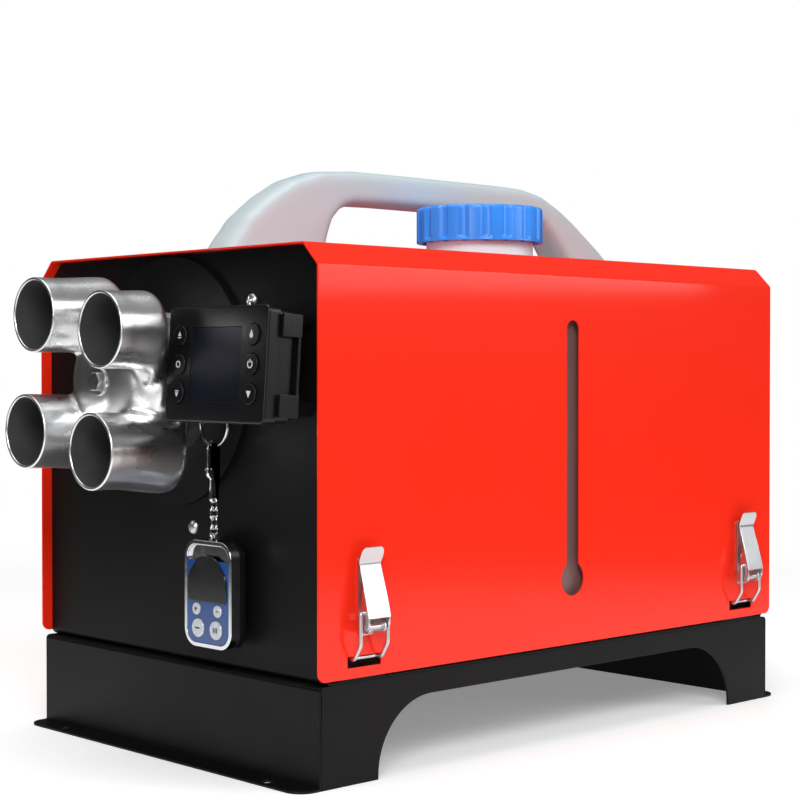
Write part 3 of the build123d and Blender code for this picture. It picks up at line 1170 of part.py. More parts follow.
def latch_lever():
    """Channel that leans in towards its tip, with a curled finger end."""
    low_x = PIVOT_X + 6.2
    high_x = PIVOT_X - 3.0
    low_z = PIVOT_Z - 3.2
    lean = (high_x - low_x) / (LEVER_TOP - low_z)
    web = outline([(low_x, low_z), (high_x, LEVER_TOP), (high_x + 4.6, LEVER_TOP + LEVER_TIP),
                   (high_x + 4.6 - LATCH_SHEET, LEVER_TOP + LEVER_TIP), (high_x - LATCH_SHEET, LEVER_TOP),
                   (low_x - LATCH_SHEET, low_z)])
    half = LEVER_WIDTH / 2
    lever = extrude(front_plane(half) * web, LEVER_WIDTH)
    flange_top = PIVOT_Z + 20
    cheek = outline([(low_x - 0.5, low_z), (low_x - 0.5 + lean * (flange_top - low_z), flange_top),
                     (PIVOT_X - 2.4, PIVOT_Z + BAIL_OFFSET + 3.2), (PIVOT_X - 2.8, low_z + 1)])
    hole = Pos(PIVOT_X, PIVOT_Z) * Circle(PIVOT_RADIUS + PIVOT_CLEARANCE)
    bail_hole = Pos(PIVOT_X, PIVOT_Z + BAIL_OFFSET) * Circle(BAIL_WIRE + BAIL_PIN_CLEARANCE)
    for y in (half, -half + LATCH_SHEET):
        lever += extrude(front_plane(y) * (cheek - hole - bail_hole), LATCH_SHEET)
    return lever


def latch_bail():
    """Closed wire hoop from the lever's cheeks down into the cover's slot."""
    half = BAIL_WIDTH / 2
    top = PIVOT_Z + BAIL_OFFSET
    knee_z = BAIL_FOOT_Z + 8
    elbow_x = COVER_WIDTH / 2 + 2.5
    inner = LEVER_WIDTH / 2 - LATCH_SHEET
    bail = Part()
    for y in (-half, half):
        start = (PIVOT_X, y * inner / half, top)
        path = FilletPolyline(start, (PIVOT_X, y, top), (PIVOT_X, y, knee_z), (elbow_x, y, BAIL_FOOT_Z),
                              (BAIL_FOOT_X, y, BAIL_FOOT_Z), (BAIL_FOOT_X, 0, BAIL_FOOT_Z),
                              radius=[1.15, 5, 3, 1.2])
        bail += wire_loop(path, BAIL_WIRE)
    return bail


def latch_catch():
    """Upright tab on the chassis floor's edge, its window's upper edge holding the bail."""
    inner = CATCH_X - CATCH_SHEET
    tab = Pos(0, CHASSIS_FLOOR + CATCH_HEIGHT / 2) * Rectangle(CATCH_WIDTH, CATCH_HEIGHT)
    tab -= Pos(0, HOOK_SLOT_Z) * Rectangle(HOOK_SLOT_WIDTH, HOOK_SLOT_HEIGHT)
    return extrude(side_plane(inner) * tab, CATCH_SHEET)


def latch_set(piece):
    """The same piece at all four latches."""
    solids = []
    for side in (1, -1):
        for y in (-LATCH_Y, LATCH_Y):
            solids += latch_place(piece, side, y).solids()
    return solids


# ------------------------------------------------------------------ all nodes
def build():
    nodes = {
        "stand_frame": stand_frame(),
        "stand_side_left": stand_side(-1),
        "stand_side_right": stand_side(1),
        "chassis": chassis(),
        "cover_shell": cover_shell(),
        "casing_screws": casing_screws(),
        "intake_grille": intake_grille(),
        "power_gland": power_gland(),
        "fuel_tank": fuel_tank(),
        "fuel_cap": fuel_cap(),
        "cap_liner": cap_liner(),
        "fuel_filter": fuel_filter(),
        "fuel_pump": fuel_pump(),
        "pump_mount": pump_mount(),
        "fuel_hoses": fuel_hoses(),
        "air_splitter": air_splitter(),
        "splitter_ring": splitter_ring(),
        "splitter_bolt": splitter_bolt(),
        "display_bracket": display_bracket(),
        "display_back": display_back(),
        "display_front": display_front(),
        "display_screen": display_screen(),
        "display_lead": display_lead(),
        "key_ring": key_ring(),
        "clasp_body": clasp_body(),
        "clasp_gate": clasp_gate(),
        "key_chain": key_chain(),
        "fob_back": fob_back(),
        "fob_frame": fob_frame(),
        "fob_face": fob_face(),
        "fob_window": fob_window(),
        "latch_plates": Compound(children=latch_set(latch_plate())),
        "latch_catches": Compound(children=latch_set(latch_catch())),
        "heater_case": heater_case(),
        "heat_exchanger": heat_exchanger(),
        "burner": burner(),
        "blower_motor": blower_motor(),
        "blower_rotor": blower_rotor(),
        "control_board": control_board(),
        "heater_bracket": heater_bracket(),
        "combustion_pipes": combustion_pipes(),
    }
    for k, place in enumerate(display_key_places(), 1):
        nodes[f"display_button_{k}"] = display_button(place)
    for k, place in enumerate(fob_key_places(), 1):
        nodes[f"fob_button_{k}"] = fob_button(place)
    for k, (lever, bail) in enumerate(zip(latch_set(latch_lever()), latch_set(latch_bail())), 1):
        nodes[f"latch_lever_{k}"] = lever
        nodes[f"latch_bail_{k}"] = bail
    return nodes


os.makedirs("parts", exist_ok=True)
for name, shape in build().items():
    export_step(shape, f"parts/{name}.step")
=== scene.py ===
"""Diesel air heater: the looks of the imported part, built round its frame, one section for each piece."""

import math

import bmesh
import bpy
from mathutils import Matrix, Vector
from mathutils.bvhtree import BVHTree


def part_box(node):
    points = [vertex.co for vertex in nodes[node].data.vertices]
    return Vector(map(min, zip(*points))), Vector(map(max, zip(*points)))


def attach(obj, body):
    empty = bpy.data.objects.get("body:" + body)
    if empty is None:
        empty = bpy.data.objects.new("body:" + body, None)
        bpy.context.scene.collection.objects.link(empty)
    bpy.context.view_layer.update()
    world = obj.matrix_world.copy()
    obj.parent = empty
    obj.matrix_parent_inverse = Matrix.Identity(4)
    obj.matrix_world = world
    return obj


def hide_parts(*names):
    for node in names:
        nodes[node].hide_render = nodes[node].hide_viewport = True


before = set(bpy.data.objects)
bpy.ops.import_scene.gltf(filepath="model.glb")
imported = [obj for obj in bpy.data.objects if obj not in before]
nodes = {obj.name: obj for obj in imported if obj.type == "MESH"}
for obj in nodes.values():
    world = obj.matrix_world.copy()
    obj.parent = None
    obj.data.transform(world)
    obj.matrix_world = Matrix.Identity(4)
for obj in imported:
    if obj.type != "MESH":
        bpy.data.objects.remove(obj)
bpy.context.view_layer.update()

MM = 0.001


# ---------------------------------------------------------------- studio: floor, light and camera
# A pale seamless floor that fades into a white room, lit by four soft boxes. The camera
# stands at the front right corner, at the height of the display.
CAMERA_PLACE = (0.839, -0.807, 0.221)
CAMERA_HEADING = math.radians(46.7)
CAMERA_DIP = math.radians(0.99)
CAMERA_LENS = 80.7
CAMERA_SENSOR = 36

camera_data = bpy.data.cameras.new("camera")
camera_data.lens = CAMERA_LENS
camera_data.sensor_width = CAMERA_SENSOR
camera = bpy.data.objects.new("camera", camera_data)
camera.location = CAMERA_PLACE
camera.rotation_euler = (math.pi / 2 - CAMERA_DIP, 0, CAMERA_HEADING)
bpy.context.scene.collection.objects.link(camera)
bpy.context.scene.camera = camera
bpy.context.scene.view_settings.view_transform = "Standard"


def soft_box(name, place, target, width, height, power, colour=(1, 1, 1)):
    """Square studio lamp that faces its target."""
    lamp = bpy.data.lights.new(name, "AREA")
    lamp.shape = "RECTANGLE"
    lamp.size = width
    lamp.size_y = height
    lamp.energy = power
    lamp.color = colour
    box = bpy.data.objects.new(name, lamp)
    box.location = place
    box.rotation_euler = (Vector(target) - Vector(place)).to_track_quat("-Z", "Y").to_euler()
    bpy.context.scene.collection.objects.link(box)


soft_box("side_light", (1.75, 1.35, 0.98), (0.1, 0, 0.2), 1.25, 1.3, 17)
soft_box("camera_light", (1.55, -1.35, 1.35), (0.05, -0.1, 0.2), 1.1, 0.8, 31)
soft_box("front_light", (0.75, -2.0, 0.5), (-0.05, -0.2, 0.2), 1.1, 0.5, 7)
soft_box("top_light", (-0.1, -0.2, 2.0), (0, 0, 0), 1.5, 1.5, 20)


def step(tree, kind, links=None, **settings):
    """Adds a node and returns its first output; links maps its input names or numbers to ends."""
    node = tree.nodes.new(kind)
    for label, value in settings.items():
        setattr(node, label, value)
    for label, end in (links or {}).items():
        if isinstance(end, bpy.types.NodeSocket):
            tree.links.new(end, node.inputs[label])
        else:
            node.inputs[label].default_value = end
    return node.outputs[0]


# brightness of the room that the part mirrors, by height: 0 is the floor, 1 the zenith
ROOM_LEVELS = ((0.3, 0.55), (0.46, 0.12), (0.62, 0.1), (0.78, 0.5), (0.97, 1.0))
ROOM_GLOW = 0.3
room = bpy.data.worlds.new("white_room")
room.use_nodes = True
bpy.context.scene.world = room
room_tree = room.node_tree
room_tree.nodes.clear()
direction = step(room_tree, "ShaderNodeTexCoord")
rise = step(room_tree, "ShaderNodeSeparateXYZ", {0: direction}).node.outputs["Z"]
level = step(room_tree, "ShaderNodeMath", {0: rise, 1: 0.5, 2: 0.5}, operation="MULTIPLY_ADD")
ramp = step(room_tree, "ShaderNodeValToRGB", {0: level})
ramp_stops = ramp.node.color_ramp.elements
for stop, place in zip(ramp_stops, (ROOM_LEVELS[0], ROOM_LEVELS[-1])):
    stop.position = place[0]
    stop.color = (*[place[1]] * 3, 1)
for position, grey in ROOM_LEVELS[1:-1]:
    ramp_stops.new(position).color = (grey, grey, grey, 1)
glow = step(room_tree, "ShaderNodeBackground", {"Color": ramp, "Strength": ROOM_GLOW})
wall = step(room_tree, "ShaderNodeBackground", {"Color": (1, 1, 1, 1)})
seen = step(room_tree, "ShaderNodeLightPath").node.outputs["Is Camera Ray"]
mixed = step(room_tree, "ShaderNodeMixShader", {0: seen, 1: glow, 2: wall})
world_out = room_tree.nodes.new("ShaderNodeOutputWorld")
room_tree.links.new(mixed, world_out.inputs["Surface"])

FLOOR_CLEAR = 0.55
FLOOR_EDGE = 1.15
floor_mesh = bpy.data.meshes.new("floor")
floor_shape = bmesh.new()
bmesh.ops.create_circle(floor_shape, cap_ends=True, segments=96, radius=FLOOR_EDGE)
floor_shape.to_mesh(floor_mesh)
floor_shape.free()
floor = bpy.data.objects.new("floor", floor_mesh)
bpy.context.scene.collection.objects.link(floor)
floor_paint = bpy.data.materials.new("studio_floor")
floor_paint.use_nodes = True
floor_face = floor_paint.node_tree.nodes["Principled BSDF"]
for label, value in (("Base Color", (0.95, 0.95, 0.95, 1)), ("Roughness", 0.9), ("Specular IOR Level", 0.1),
                     ("Emission Color", (1, 1, 1, 1)), ("Emission Strength", 0.25)):
    floor_face.inputs[label].default_value = value
floor_coords = step(floor_paint.node_tree, "ShaderNodeTexCoord").node.outputs["Object"]
floor_reach = step(floor_paint.node_tree, "ShaderNodeVectorMath", {0: floor_coords},
                   operation="LENGTH").node.outputs["Value"]
floor_fade = step(floor_paint.node_tree, "ShaderNodeMapRange",
                  {"Value": floor_reach, "From Min": FLOOR_CLEAR, "From Max": FLOOR_EDGE,
                   "To Min": 1, "To Max": 0},
                  interpolation_type="SMOOTHSTEP")
floor_paint.node_tree.links.new(floor_fade, floor_face.inputs["Alpha"])
floor_mesh.materials.append(floor_paint)


# ---------------------------------------------------------------- stand
# One sheet bent into a deck with two end walls and bolt-down feet, and two side skirts with a
# wide arch each, welded on and powder coated satin black.
def shader_group(name, inputs, outputs):
    """Empty shader node group with named number inputs; returns it and its two end nodes."""
    group = bpy.data.node_groups.new(name, "ShaderNodeTree")
    for label, value in inputs.items():
        socket = group.interface.new_socket(label, in_out="INPUT", socket_type="NodeSocketFloat")
        socket.default_value = value
    for label, kind in outputs.items():
        group.interface.new_socket(label, in_out="OUTPUT", socket_type=kind)
    return group, group.nodes.new("NodeGroupInput"), group.nodes.new("NodeGroupOutput")


def noise(tree, coords, scale, detail=2.0, roughness=0.5):
    """Noise texture on the given coordinates."""
    return step(tree, "ShaderNodeTexNoise", {"Vector": coords, "Scale": scale, "Detail": detail,
                                             "Roughness": roughness})


def remap(tree, value, from_low, from_high, to_low, to_high):
    """Value stretched from one range to another, held at the ends."""
    return step(tree, "ShaderNodeMapRange", {"Value": value, "From Min": from_low, "From Max": from_high,
                                             "To Min": to_low, "To Max": to_high})


def arithmetic(tree, operation, first, second=0.0):
    """One math node on two numbers or sockets."""
    return step(tree, "ShaderNodeMath", {0: first, 1: second}, operation=operation)


def mixed_colour(tree, share, first, second):
    """Blend of two colours."""
    return step(tree, "ShaderNodeMix", {0: share, 6: first, 7: second}, data_type="RGBA").node.outputs[2]


PATCH_BAND = (0.3, 0.7)
WORN_BEND = (0.02, 0.25)
WORN_BREAKS = (0.42, 0.62)


def surface_variation_group():
    """Patches of slightly different gloss and tone, and a fine grain for bump."""
    group, given, out = shader_group(
        "surface_variation",
        {"Patch Scale": 18.0, "Grain Scale": 900.0, "Low Roughness": 0.35, "High Roughness": 0.5},
        {"Tone": "NodeSocketFloat", "Roughness": "NodeSocketFloat", "Grain": "NodeSocketFloat"})
    coords = step(group, "ShaderNodeTexCoord").node.outputs["Object"]
    patches = noise(group, coords, given.outputs["Patch Scale"], 4.0, 0.6)
    group.links.new(patches, out.inputs["Tone"])
    group.links.new(remap(group, patches, *PATCH_BAND, given.outputs["Low Roughness"],
                          given.outputs["High Roughness"]), out.inputs["Roughness"])
    group.links.new(noise(group, coords, given.outputs["Grain Scale"]), out.inputs["Grain"])
    return group


def edge_wear_group():
    """Mask that is white along the outer edges, broken up by noise."""
    group, given, out = shader_group(
        "edge_wear", {"Radius": 0.0006, "Amount": 1.0, "Break Scale": 260.0}, {"Mask": "NodeSocketFloat"})
    rounded = step(group, "ShaderNodeBevel", {"Radius": given.outputs["Radius"]}, samples=4)
    flat = step(group, "ShaderNodeNewGeometry").node.outputs["Normal"]
    turn = step(group, "ShaderNodeVectorMath", {0: rounded, 1: flat},
                operation="DOT_PRODUCT").node.outputs["Value"]
    edge = remap(group, arithmetic(group, "SUBTRACT", 1.0, turn), *WORN_BEND, 0.0, 1.0)
    coords = step(group, "ShaderNodeTexCoord").node.outputs["Object"]
    breaks = remap(group, noise(group, coords, given.outputs["Break Scale"], 3.0), *WORN_BREAKS, 0.0, 1.0)
    mask = arithmetic(group, "MULTIPLY", edge, breaks)
    group.links.new(arithmetic(group, "MULTIPLY", mask, given.outputs["Amount"]), out.inputs["Mask"])
    return group


surface_variation = surface_variation_group()
edge_wear = edge_wear_group()


def use_group(tree, group, **values):
    """Places a shader group in a material with its own values."""
    node = tree.nodes.new("ShaderNodeGroup")
    node.node_tree = group
    for label, value in values.items():
        node.inputs[label.replace("_", " ")].default_value = value
    return node


def finish_material(name, colour, low_rough, high_rough, dark=0.85, metallic=0.0, patch=18.0, grain=900.0,
                    bump=0.1, bump_depth=0.0002, wear=0.0, wear_colour=None, **constants):
    """Principled material whose tone and gloss vary in patches, with a fine grain and worn edges."""
    material = bpy.data.materials.new(name)
    material.use_nodes = True
    tree = material.node_tree
    face = tree.nodes["Principled BSDF"]
    face.inputs["Metallic"].default_value = metallic
    for label, value in constants.items():
        face.inputs[label.replace("_", " ")].default_value = value
    surface = use_group(tree, surface_variation, Patch_Scale=patch, Grain_Scale=grain,
                        Low_Roughness=low_rough, High_Roughness=high_rough)
    share = remap(tree, surface.outputs["Tone"], *PATCH_BAND, 0.0, 1.0)
    shade = mixed_colour(tree, share, (*[c * dark for c in colour], 1), (*colour, 1))
    if wear:
        worn = use_group(tree, edge_wear, Amount=wear).outputs["Mask"]
        shade = mixed_colour(tree, worn, shade, (*wear_colour, 1))
    relief = step(tree, "ShaderNodeBump", {"Strength": bump, "Distance": bump_depth,
                                           "Height": surface.outputs["Grain"]})
    for label, end in (("Base Color", shade), ("Roughness", surface.outputs["Roughness"]), ("Normal", relief)):
        tree.links.new(end, face.inputs[label])
    return material


def pushed(shape, face):
    """Corners of the copy that a face leaves when it is pulled into a solid."""
    grown_part = bmesh.ops.extrude_face_region(shape, geom=[face])["geom"]
    return [item for item in grown_part if isinstance(item, bmesh.types.BMVert)]


def dress(node, material):
    """Gives a CAD node its finish."""
    mesh = nodes[node].data
    mesh.materials.clear()
    mesh.materials.append(material)


MERGE_REACH = 2e-6
FLAT_ANGLE = math.radians(0.6)


def merged_copy(node):
    """Copy of a CAD node's mesh, its doubled corners merged."""
    shape = bmesh.new()
    shape.from_mesh(nodes[node].data)
    bmesh.ops.remove_doubles(shape, verts=shape.verts, dist=MERGE_REACH)
    return shape


def rounded_copy(node, rounding, least_angle=35, steps=2):
    """Merged copy of a CAD node's mesh, its edges that turn by more than least_angle rounded."""
    shape = merged_copy(node)
    bmesh.ops.dissolve_limit(shape, angle_limit=FLAT_ANGLE, verts=shape.verts, edges=shape.edges)
    sharp = [edge for edge in shape.edges
             if len(edge.link_faces) == 2 and edge.calc_face_angle() > math.radians(least_angle)]
    bmesh.ops.bevel(shape, geom=sharp, offset=rounding, segments=steps, profile=0.5, affect="EDGES",
                    clamp_overlap=False)
    return shape


def placed(name, mesh):
    """Object of a mesh, in the scene."""
    holder = bpy.data.objects.new(name, mesh)
    bpy.context.scene.collection.objects.link(holder)
    return holder


def settled(name, mesh, kinds):
    """The mesh that a stack of modifiers makes; kinds maps each modifier to its settings."""
    holder = placed(name, mesh)
    for kind, settings in kinds:
        modifier = holder.modifiers.new(kind, kind)
        for label, value in settings.items():
            setattr(modifier, label, value)
    graph = bpy.context.evaluated_depsgraph_get()
    result = bpy.data.meshes.new_from_object(holder.evaluated_get(graph), preserve_all_data_layers=True,
                                             depsgraph=graph)
    bpy.data.objects.remove(holder)
    bpy.data.meshes.remove(mesh)
    return result


def as_mesh(name, shape):
    """Mesh of a bmesh, which is freed."""
    mesh = bpy.data.meshes.new(name)
    shape.to_mesh(mesh)
    shape.free()
    return mesh


def shaded(name, shape, smooth_below=40):
    """Mesh of a bmesh, smooth at edges that turn less than smooth_below, flat faces kept flat."""
    mesh = as_mesh(name, shape)
    if "custom_normal" in mesh.attributes:
        mesh.attributes.remove(mesh.attributes["custom_normal"])
    mesh.shade_smooth()
    mesh.set_sharp_from_angle(angle=math.radians(smooth_below))
    return settled(name, mesh, [("WEIGHTED_NORMAL", {"keep_sharp": True})])


def add_piece(name, mesh, material, body, slot, *stands_for):
    """Finished mesh as a piece that rides on its body and stands for its CAD nodes."""
    mesh.materials.clear()
    mesh.materials.append(material)
    mesh.name = name
    piece = placed(name, mesh)
    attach(piece, body)
    if stands_for:
        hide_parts(*stands_for)
    return piece


def add_rounded(name, node, rounding, material, slot, body="casing", least_angle=35, steps=2):
    """A CAD node's own form with its edges rounded, as a piece that stands for it."""
    mesh = shaded(name, rounded_copy(node, rounding, least_angle, steps))
    return add_piece(name, mesh, material, body, slot, node)


black_powder = finish_material("black_powder_coat", (0.0045, 0.0045, 0.0048), 0.38, 0.48, grain=1400.0, bump=0.25,
                               wear=0.3, wear_colour=(0.03, 0.03, 0.03), Specular_IOR_Level=0.14)
for name in ("stand_frame", "stand_side_left", "stand_side_right"):
    add_rounded(f"coated_{name}", name, 0.45 * MM, black_powder, "black_paint")


# ---------------------------------------------------------------- chassis
# One black sheet bent to a U: the floor, and the front and rear panels that sit inside the
# cover's ends. The screws that hold the heater's duct to it are zinc plated.
panel_black = finish_material("panel_black", (0.0036, 0.0036, 0.0036), 0.42, 0.52, grain=1400.0, bump=0.3,
                              wear=0.2, wear_colour=(0.025, 0.025, 0.025), Specular_IOR_Level=0.13)
add_rounded("coated_chassis", "chassis", 0.4 * MM, panel_black, "black_paint")


def geometry_tree(name, inputs):
    """Empty geometry tree with named size inputs; returns it, their identifiers and its end nodes."""
    tree = bpy.data.node_groups.new(name, "GeometryNodeTree")
    tree.interface.new_socket("Geometry", in_out="INPUT", socket_type="NodeSocketGeometry")
    identifiers = {}
    for label, value in inputs.items():
        kind = "NodeSocketInt" if isinstance(value, int) else "NodeSocketFloat"
        socket = tree.interface.new_socket(label, in_out="INPUT", socket_type=kind)
        identifiers[label] = socket.identifier
    tree.interface.new_socket("Geometry", in_out="OUTPUT", socket_type="NodeSocketGeometry")
    return tree, identifiers, tree.nodes.new("NodeGroupInput"), tree.nodes.new("NodeGroupOutput")


def triple(tree, x=0.0, y=0.0, z=0.0):
    """Three numbers or sockets as one vector."""
    return step(tree, "ShaderNodeCombineXYZ", {0: x, 1: y, 2: z})


def circle(tree, points, radius):
    """Closed round curve."""
    return step(tree, "GeometryNodeCurvePrimitiveCircle", {"Resolution": points, "Radius": radius})


def swept(tree, curve, profile, capped=False):
    """Skin of a profile carried along a curve."""
    return step(tree, "GeometryNodeCurveToMesh", {"Curve": curve, "Profile Curve": profile, "Fill Caps": capped})


def copies(tree, points, instance, **turns):
    """One form on each of the points."""
    return step(tree, "GeometryNodeInstanceOnPoints", {"Points": points, "Instance": instance, **turns})


def joined(tree, first, second):
    """Two geometries as one."""
    both = step(tree, "GeometryNodeJoinGeometry", {0: first})
    tree.links.new(second, both.node.inputs[0])
    return both


def finish_tree(tree, out, geometry, material):
    """Ends a tree in real faces with their material."""
    real = step(tree, "GeometryNodeRealizeInstances", {"Geometry": geometry})
    coloured = step(tree, "GeometryNodeSetMaterial", {"Geometry": real, "Material": material})
    tree.links.new(coloured, out.inputs[0])


GROWN_CREASE = math.radians(38)


def grown(name, places, tree, identifiers, sizes):
    """Plain mesh that a tree makes on a mesh of loose points."""
    mesh = bpy.data.meshes.new(name)
    mesh.from_pydata(places, [], [])
    holder = placed(name, mesh)
    modifier = holder.modifiers.new("growth", "NODES")
    modifier.node_group = tree
    for label, value in sizes.items():
        modifier[identifiers[label]] = value
    graph = bpy.context.evaluated_depsgraph_get()
    result = bpy.data.meshes.new_from_object(holder.evaluated_get(graph), depsgraph=graph)
    holder.modifiers.clear()
    bpy.data.objects.remove(holder)
    bpy.data.meshes.remove(mesh)
    result.shade_smooth()
    result.set_sharp_from_angle(angle=GROWN_CREASE)
    return result


def centre_of(node):
    """Middle of a node's box."""
    low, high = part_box(node)
    return (Vector(low) + Vector(high)) / 2


zinc = finish_material("zinc_plate", (0.6, 0.61, 0.625), 0.27, 0.33, dark=0.94, metallic=1.0, patch=45.0,
                       grain=1200.0, bump=0.06)
SCREW_SIZES = {"Head Radius": 4.2 * MM, "Head Height": 2.6 * MM, "Recess Width": 1.1 * MM,
               "Recess Length": 4.8 * MM, "Recess Depth": 1.6 * MM}
screw_tree, screw_ids, given, out = geometry_tree("cross_recess_screws", SCREW_SIZES)
size = given.outputs
ball = step(screw_tree, "GeometryNodeMeshUVSphere", {"Segments": 32, "Rings": 16, "Radius": 1.0})
head = step(screw_tree, "GeometryNodeTransform",
            {"Geometry": ball, "Scale": triple(screw_tree, size["Head Radius"], size["Head Radius"],
                                               size["Head Height"])})
blade = step(screw_tree, "GeometryNodeMeshCube",
             {"Size": triple(screw_tree, size["Recess Length"], size["Recess Width"], size["Recess Depth"])})
crossed = step(screw_tree, "GeometryNodeTransform", {"Geometry": blade, "Rotation": (0, 0, math.pi / 2)})
raised = step(screw_tree, "GeometryNodeTransform", {"Geometry": joined(screw_tree, blade, crossed),
                                                    "Translation": triple(screw_tree, z=size["Head Height"])})
cut = step(screw_tree, "GeometryNodeMeshBoolean", {0: head, 1: raised}, operation="DIFFERENCE", solver="MANIFOLD")
spin = step(screw_tree, "FunctionNodeRandomValue", {2: 0.0, 3: 1.5, "Seed": 4}, data_type="FLOAT").node.outputs[1]
screws = copies(screw_tree, size["Geometry"], cut, Rotation=triple(screw_tree, math.pi / 2, spin))
finish_tree(screw_tree, out, screws, zinc)


def screw_places(node):
    """Where each loose solid of a node of screws meets the panel, found from its mesh."""
    shape = merged_copy(node)
    places = []
    waiting = set(shape.verts)
    while waiting:
        front = [waiting.pop()]
        island = []
        while front:
            vert = front.pop()
            island.append(vert.co.copy())
            for edge in vert.link_edges:
                other = edge.other_vert(vert)
                if other in waiting:
                    waiting.discard(other)
                    front.append(other)
        low = Vector([min(co[k] for co in island) for k in range(3)])
        high = Vector([max(co[k] for co in island) for k in range(3)])
        places.append(((low.x + high.x) / 2, low.y + SCREW_SIZES["Head Height"], (low.z + high.z) / 2))
    shape.free()
    return sorted(places)


screw_mesh = grown("panel_screws", screw_places("casing_screws"), screw_tree, screw_ids, SCREW_SIZES)
add_piece("panel_screws", screw_mesh, zinc, "casing", "zinc_steel", "casing_screws")


# ---------------------------------------------------------------- heater core
# A black moulded case in two shells round a finned cast heat exchanger, with the burner tube, the
# motor with its two fan wheels, and the control board. Two zinc plated straps carry it.
moulded_black = finish_material("moulded_black", (0.0045, 0.0045, 0.0048), 0.4, 0.5, grain=2200.0, bump=0.3,
                                Specular_IOR_Level=0.15)
raw_casting = finish_material("raw_casting", (0.2, 0.2, 0.2), 0.4, 0.6, metallic=0.9, patch=60.0,
                              grain=1500.0, bump=0.5)
brushed_steel = finish_material("brushed_steel", (0.5, 0.5, 0.5), 0.3, 0.48, metallic=1.0, patch=90.0,
                                grain=1600.0, bump=0.2)
circuit_green = finish_material("circuit_green", (0.01, 0.1, 0.04), 0.35, 0.5, grain=3000.0, bump=0.2)
for name, finish in (("heater_case", moulded_black), ("blower_rotor", moulded_black),
                     ("heat_exchanger", raw_casting), ("burner", brushed_steel), ("blower_motor", brushed_steel),
                     ("combustion_pipes", brushed_steel), ("control_board", circuit_green)):
    dress(name, finish)
add_rounded("bracket_straps", "heater_bracket", 0.5 * MM, zinc, "zinc_steel")


# ---------------------------------------------------------------- fuel line
# A clear filter cup, a steel dosing pump held in a rubber block, and black rubber hoses pushed
# onto their nipples.
hose_rubber = finish_material("hose_rubber", (0.015, 0.015, 0.015), 0.6, 0.8, grain=1300.0, bump=0.4)
filter_plastic = finish_material("filter_plastic", (0.62, 0.62, 0.58), 0.15, 0.25, Subsurface_Weight=0.3)
for name, finish in (("fuel_filter", filter_plastic), ("fuel_pump", brushed_steel), ("pump_mount", hose_rubber),
                     ("fuel_hoses", hose_rubber)):
    dress(name, finish)


# ---------------------------------------------------------------- tank, handle and filler neck
# One blow-moulded translucent white tank that sits over the core. Its handle is moulded on, with
# the mould's parting line along its middle, and so is the filler neck.
SEAM_WIDTH = 0.5 * MM
SEAM_DEPTH = 0.4 * MM


def moulded_white_material():
    """Translucent white plastic with a faint parting line at X = 0."""
    material = finish_material("moulded_white", (0.52, 0.6, 0.63), 0.36, 0.44, dark=0.97, patch=14.0,
                               grain=1100.0, bump=0.08, Subsurface_Weight=0.25, Subsurface_Scale=0.004,
                               Specular_IOR_Level=0.35)
    tree = material.node_tree
    grain = next(node for node in tree.nodes if node.type == "BUMP")
    place = step(tree, "ShaderNodeTexCoord").node.outputs["Object"]
    across = step(tree, "ShaderNodeSeparateXYZ", {0: place})
    line = remap(tree, arithmetic(tree, "ABSOLUTE", across), 0.0, SEAM_WIDTH, 1.0, 0.0)
    seam = step(tree, "ShaderNodeBump", {"Strength": 0.5, "Distance": SEAM_DEPTH, "Height": line})
    tree.links.new(seam, grain.inputs["Normal"])
    return material


def prism(name, outline, half_width):
    """Closed prism across X, from an outline of (Y, Z) places in mm."""
    shape = bmesh.new()
    near = [shape.verts.new((half_width, y * MM, z * MM)) for y, z in outline]
    far = [shape.verts.new((-half_width, y * MM, z * MM)) for y, z in outline]
    shape.faces.new(near)
    shape.faces.new(far[::-1])
    for k in range(len(outline)):
        shape.faces.new((near[k - 1], near[k], far[k], far[k - 1]))
    bmesh.ops.recalc_face_normals(shape, faces=shape.faces)
    bmesh.ops.triangulate(shape, faces=shape.faces)
    return as_mesh(name, shape)


HANDLE_HALF_WIDTH = 15.0 * MM
TANK_TOP = 285.0 * MM
# a face is the handle's if it is within its width, and reaches from near the tank's top to above it
HANDLE_SLACK = 0.1 * MM
HANDLE_LOWEST = TANK_TOP - 2 * MM
HANDLE_ABOVE = TANK_TOP + 1 * MM
CUT_LEVEL = TANK_TOP + 0.05 * MM


def tank_without_handle():
    """The tank's own mesh, its handle cut off flush with the top."""
    shape = merged_copy("fuel_tank")
    handle_faces = [face for face in shape.faces
                    if all(abs(vert.co.x) < HANDLE_HALF_WIDTH + HANDLE_SLACK and vert.co.z > HANDLE_LOWEST
                           for vert in face.verts) and max(vert.co.z for vert in face.verts) > HANDLE_ABOVE]
    part = set(handle_faces)
    part.update(edge for face in handle_faces for edge in face.edges)
    part.update(vert for face in handle_faces for vert in face.verts)
    bmesh.ops.bisect_plane(shape, geom=list(part), plane_co=(0, 0, CUT_LEVEL), plane_no=(0, 0, 1),
                           clear_outer=True)
    rim = [edge for edge in shape.edges if edge.is_boundary]
    bmesh.ops.holes_fill(shape, edges=rim, sides=0)
    return shape


HANDLE_OUTLINE = ((-168, 284), (-163, 294), (-149, 311), (-132, 324.5), (-114, 335), (-93, 341.5), (-64, 343.7),
                  (-36, 343.9), (10, 343.9), (60, 343.8), (88, 343.3), (106, 340), (122, 333), (138, 324),
                  (156, 312), (173, 300), (180, 290), (180, 276), (-168, 276))
GRIP_OUTLINE = ((-93, 270), (-90, 288), (-87, 301), (-83, 312), (-76, 319), (-66, 322.5), (-40, 323),
                (60, 323), (98, 323), (108, 319), (117, 310), (128, 297), (140, 282), (146, 270))
# how far each layer of the handle is drawn in, and its half width, which together round its long edges
HANDLE_LAYERS = ((0.0, 8.0), (1.3, 12.1), (3.4, 14.0), (7.0, 15.0))


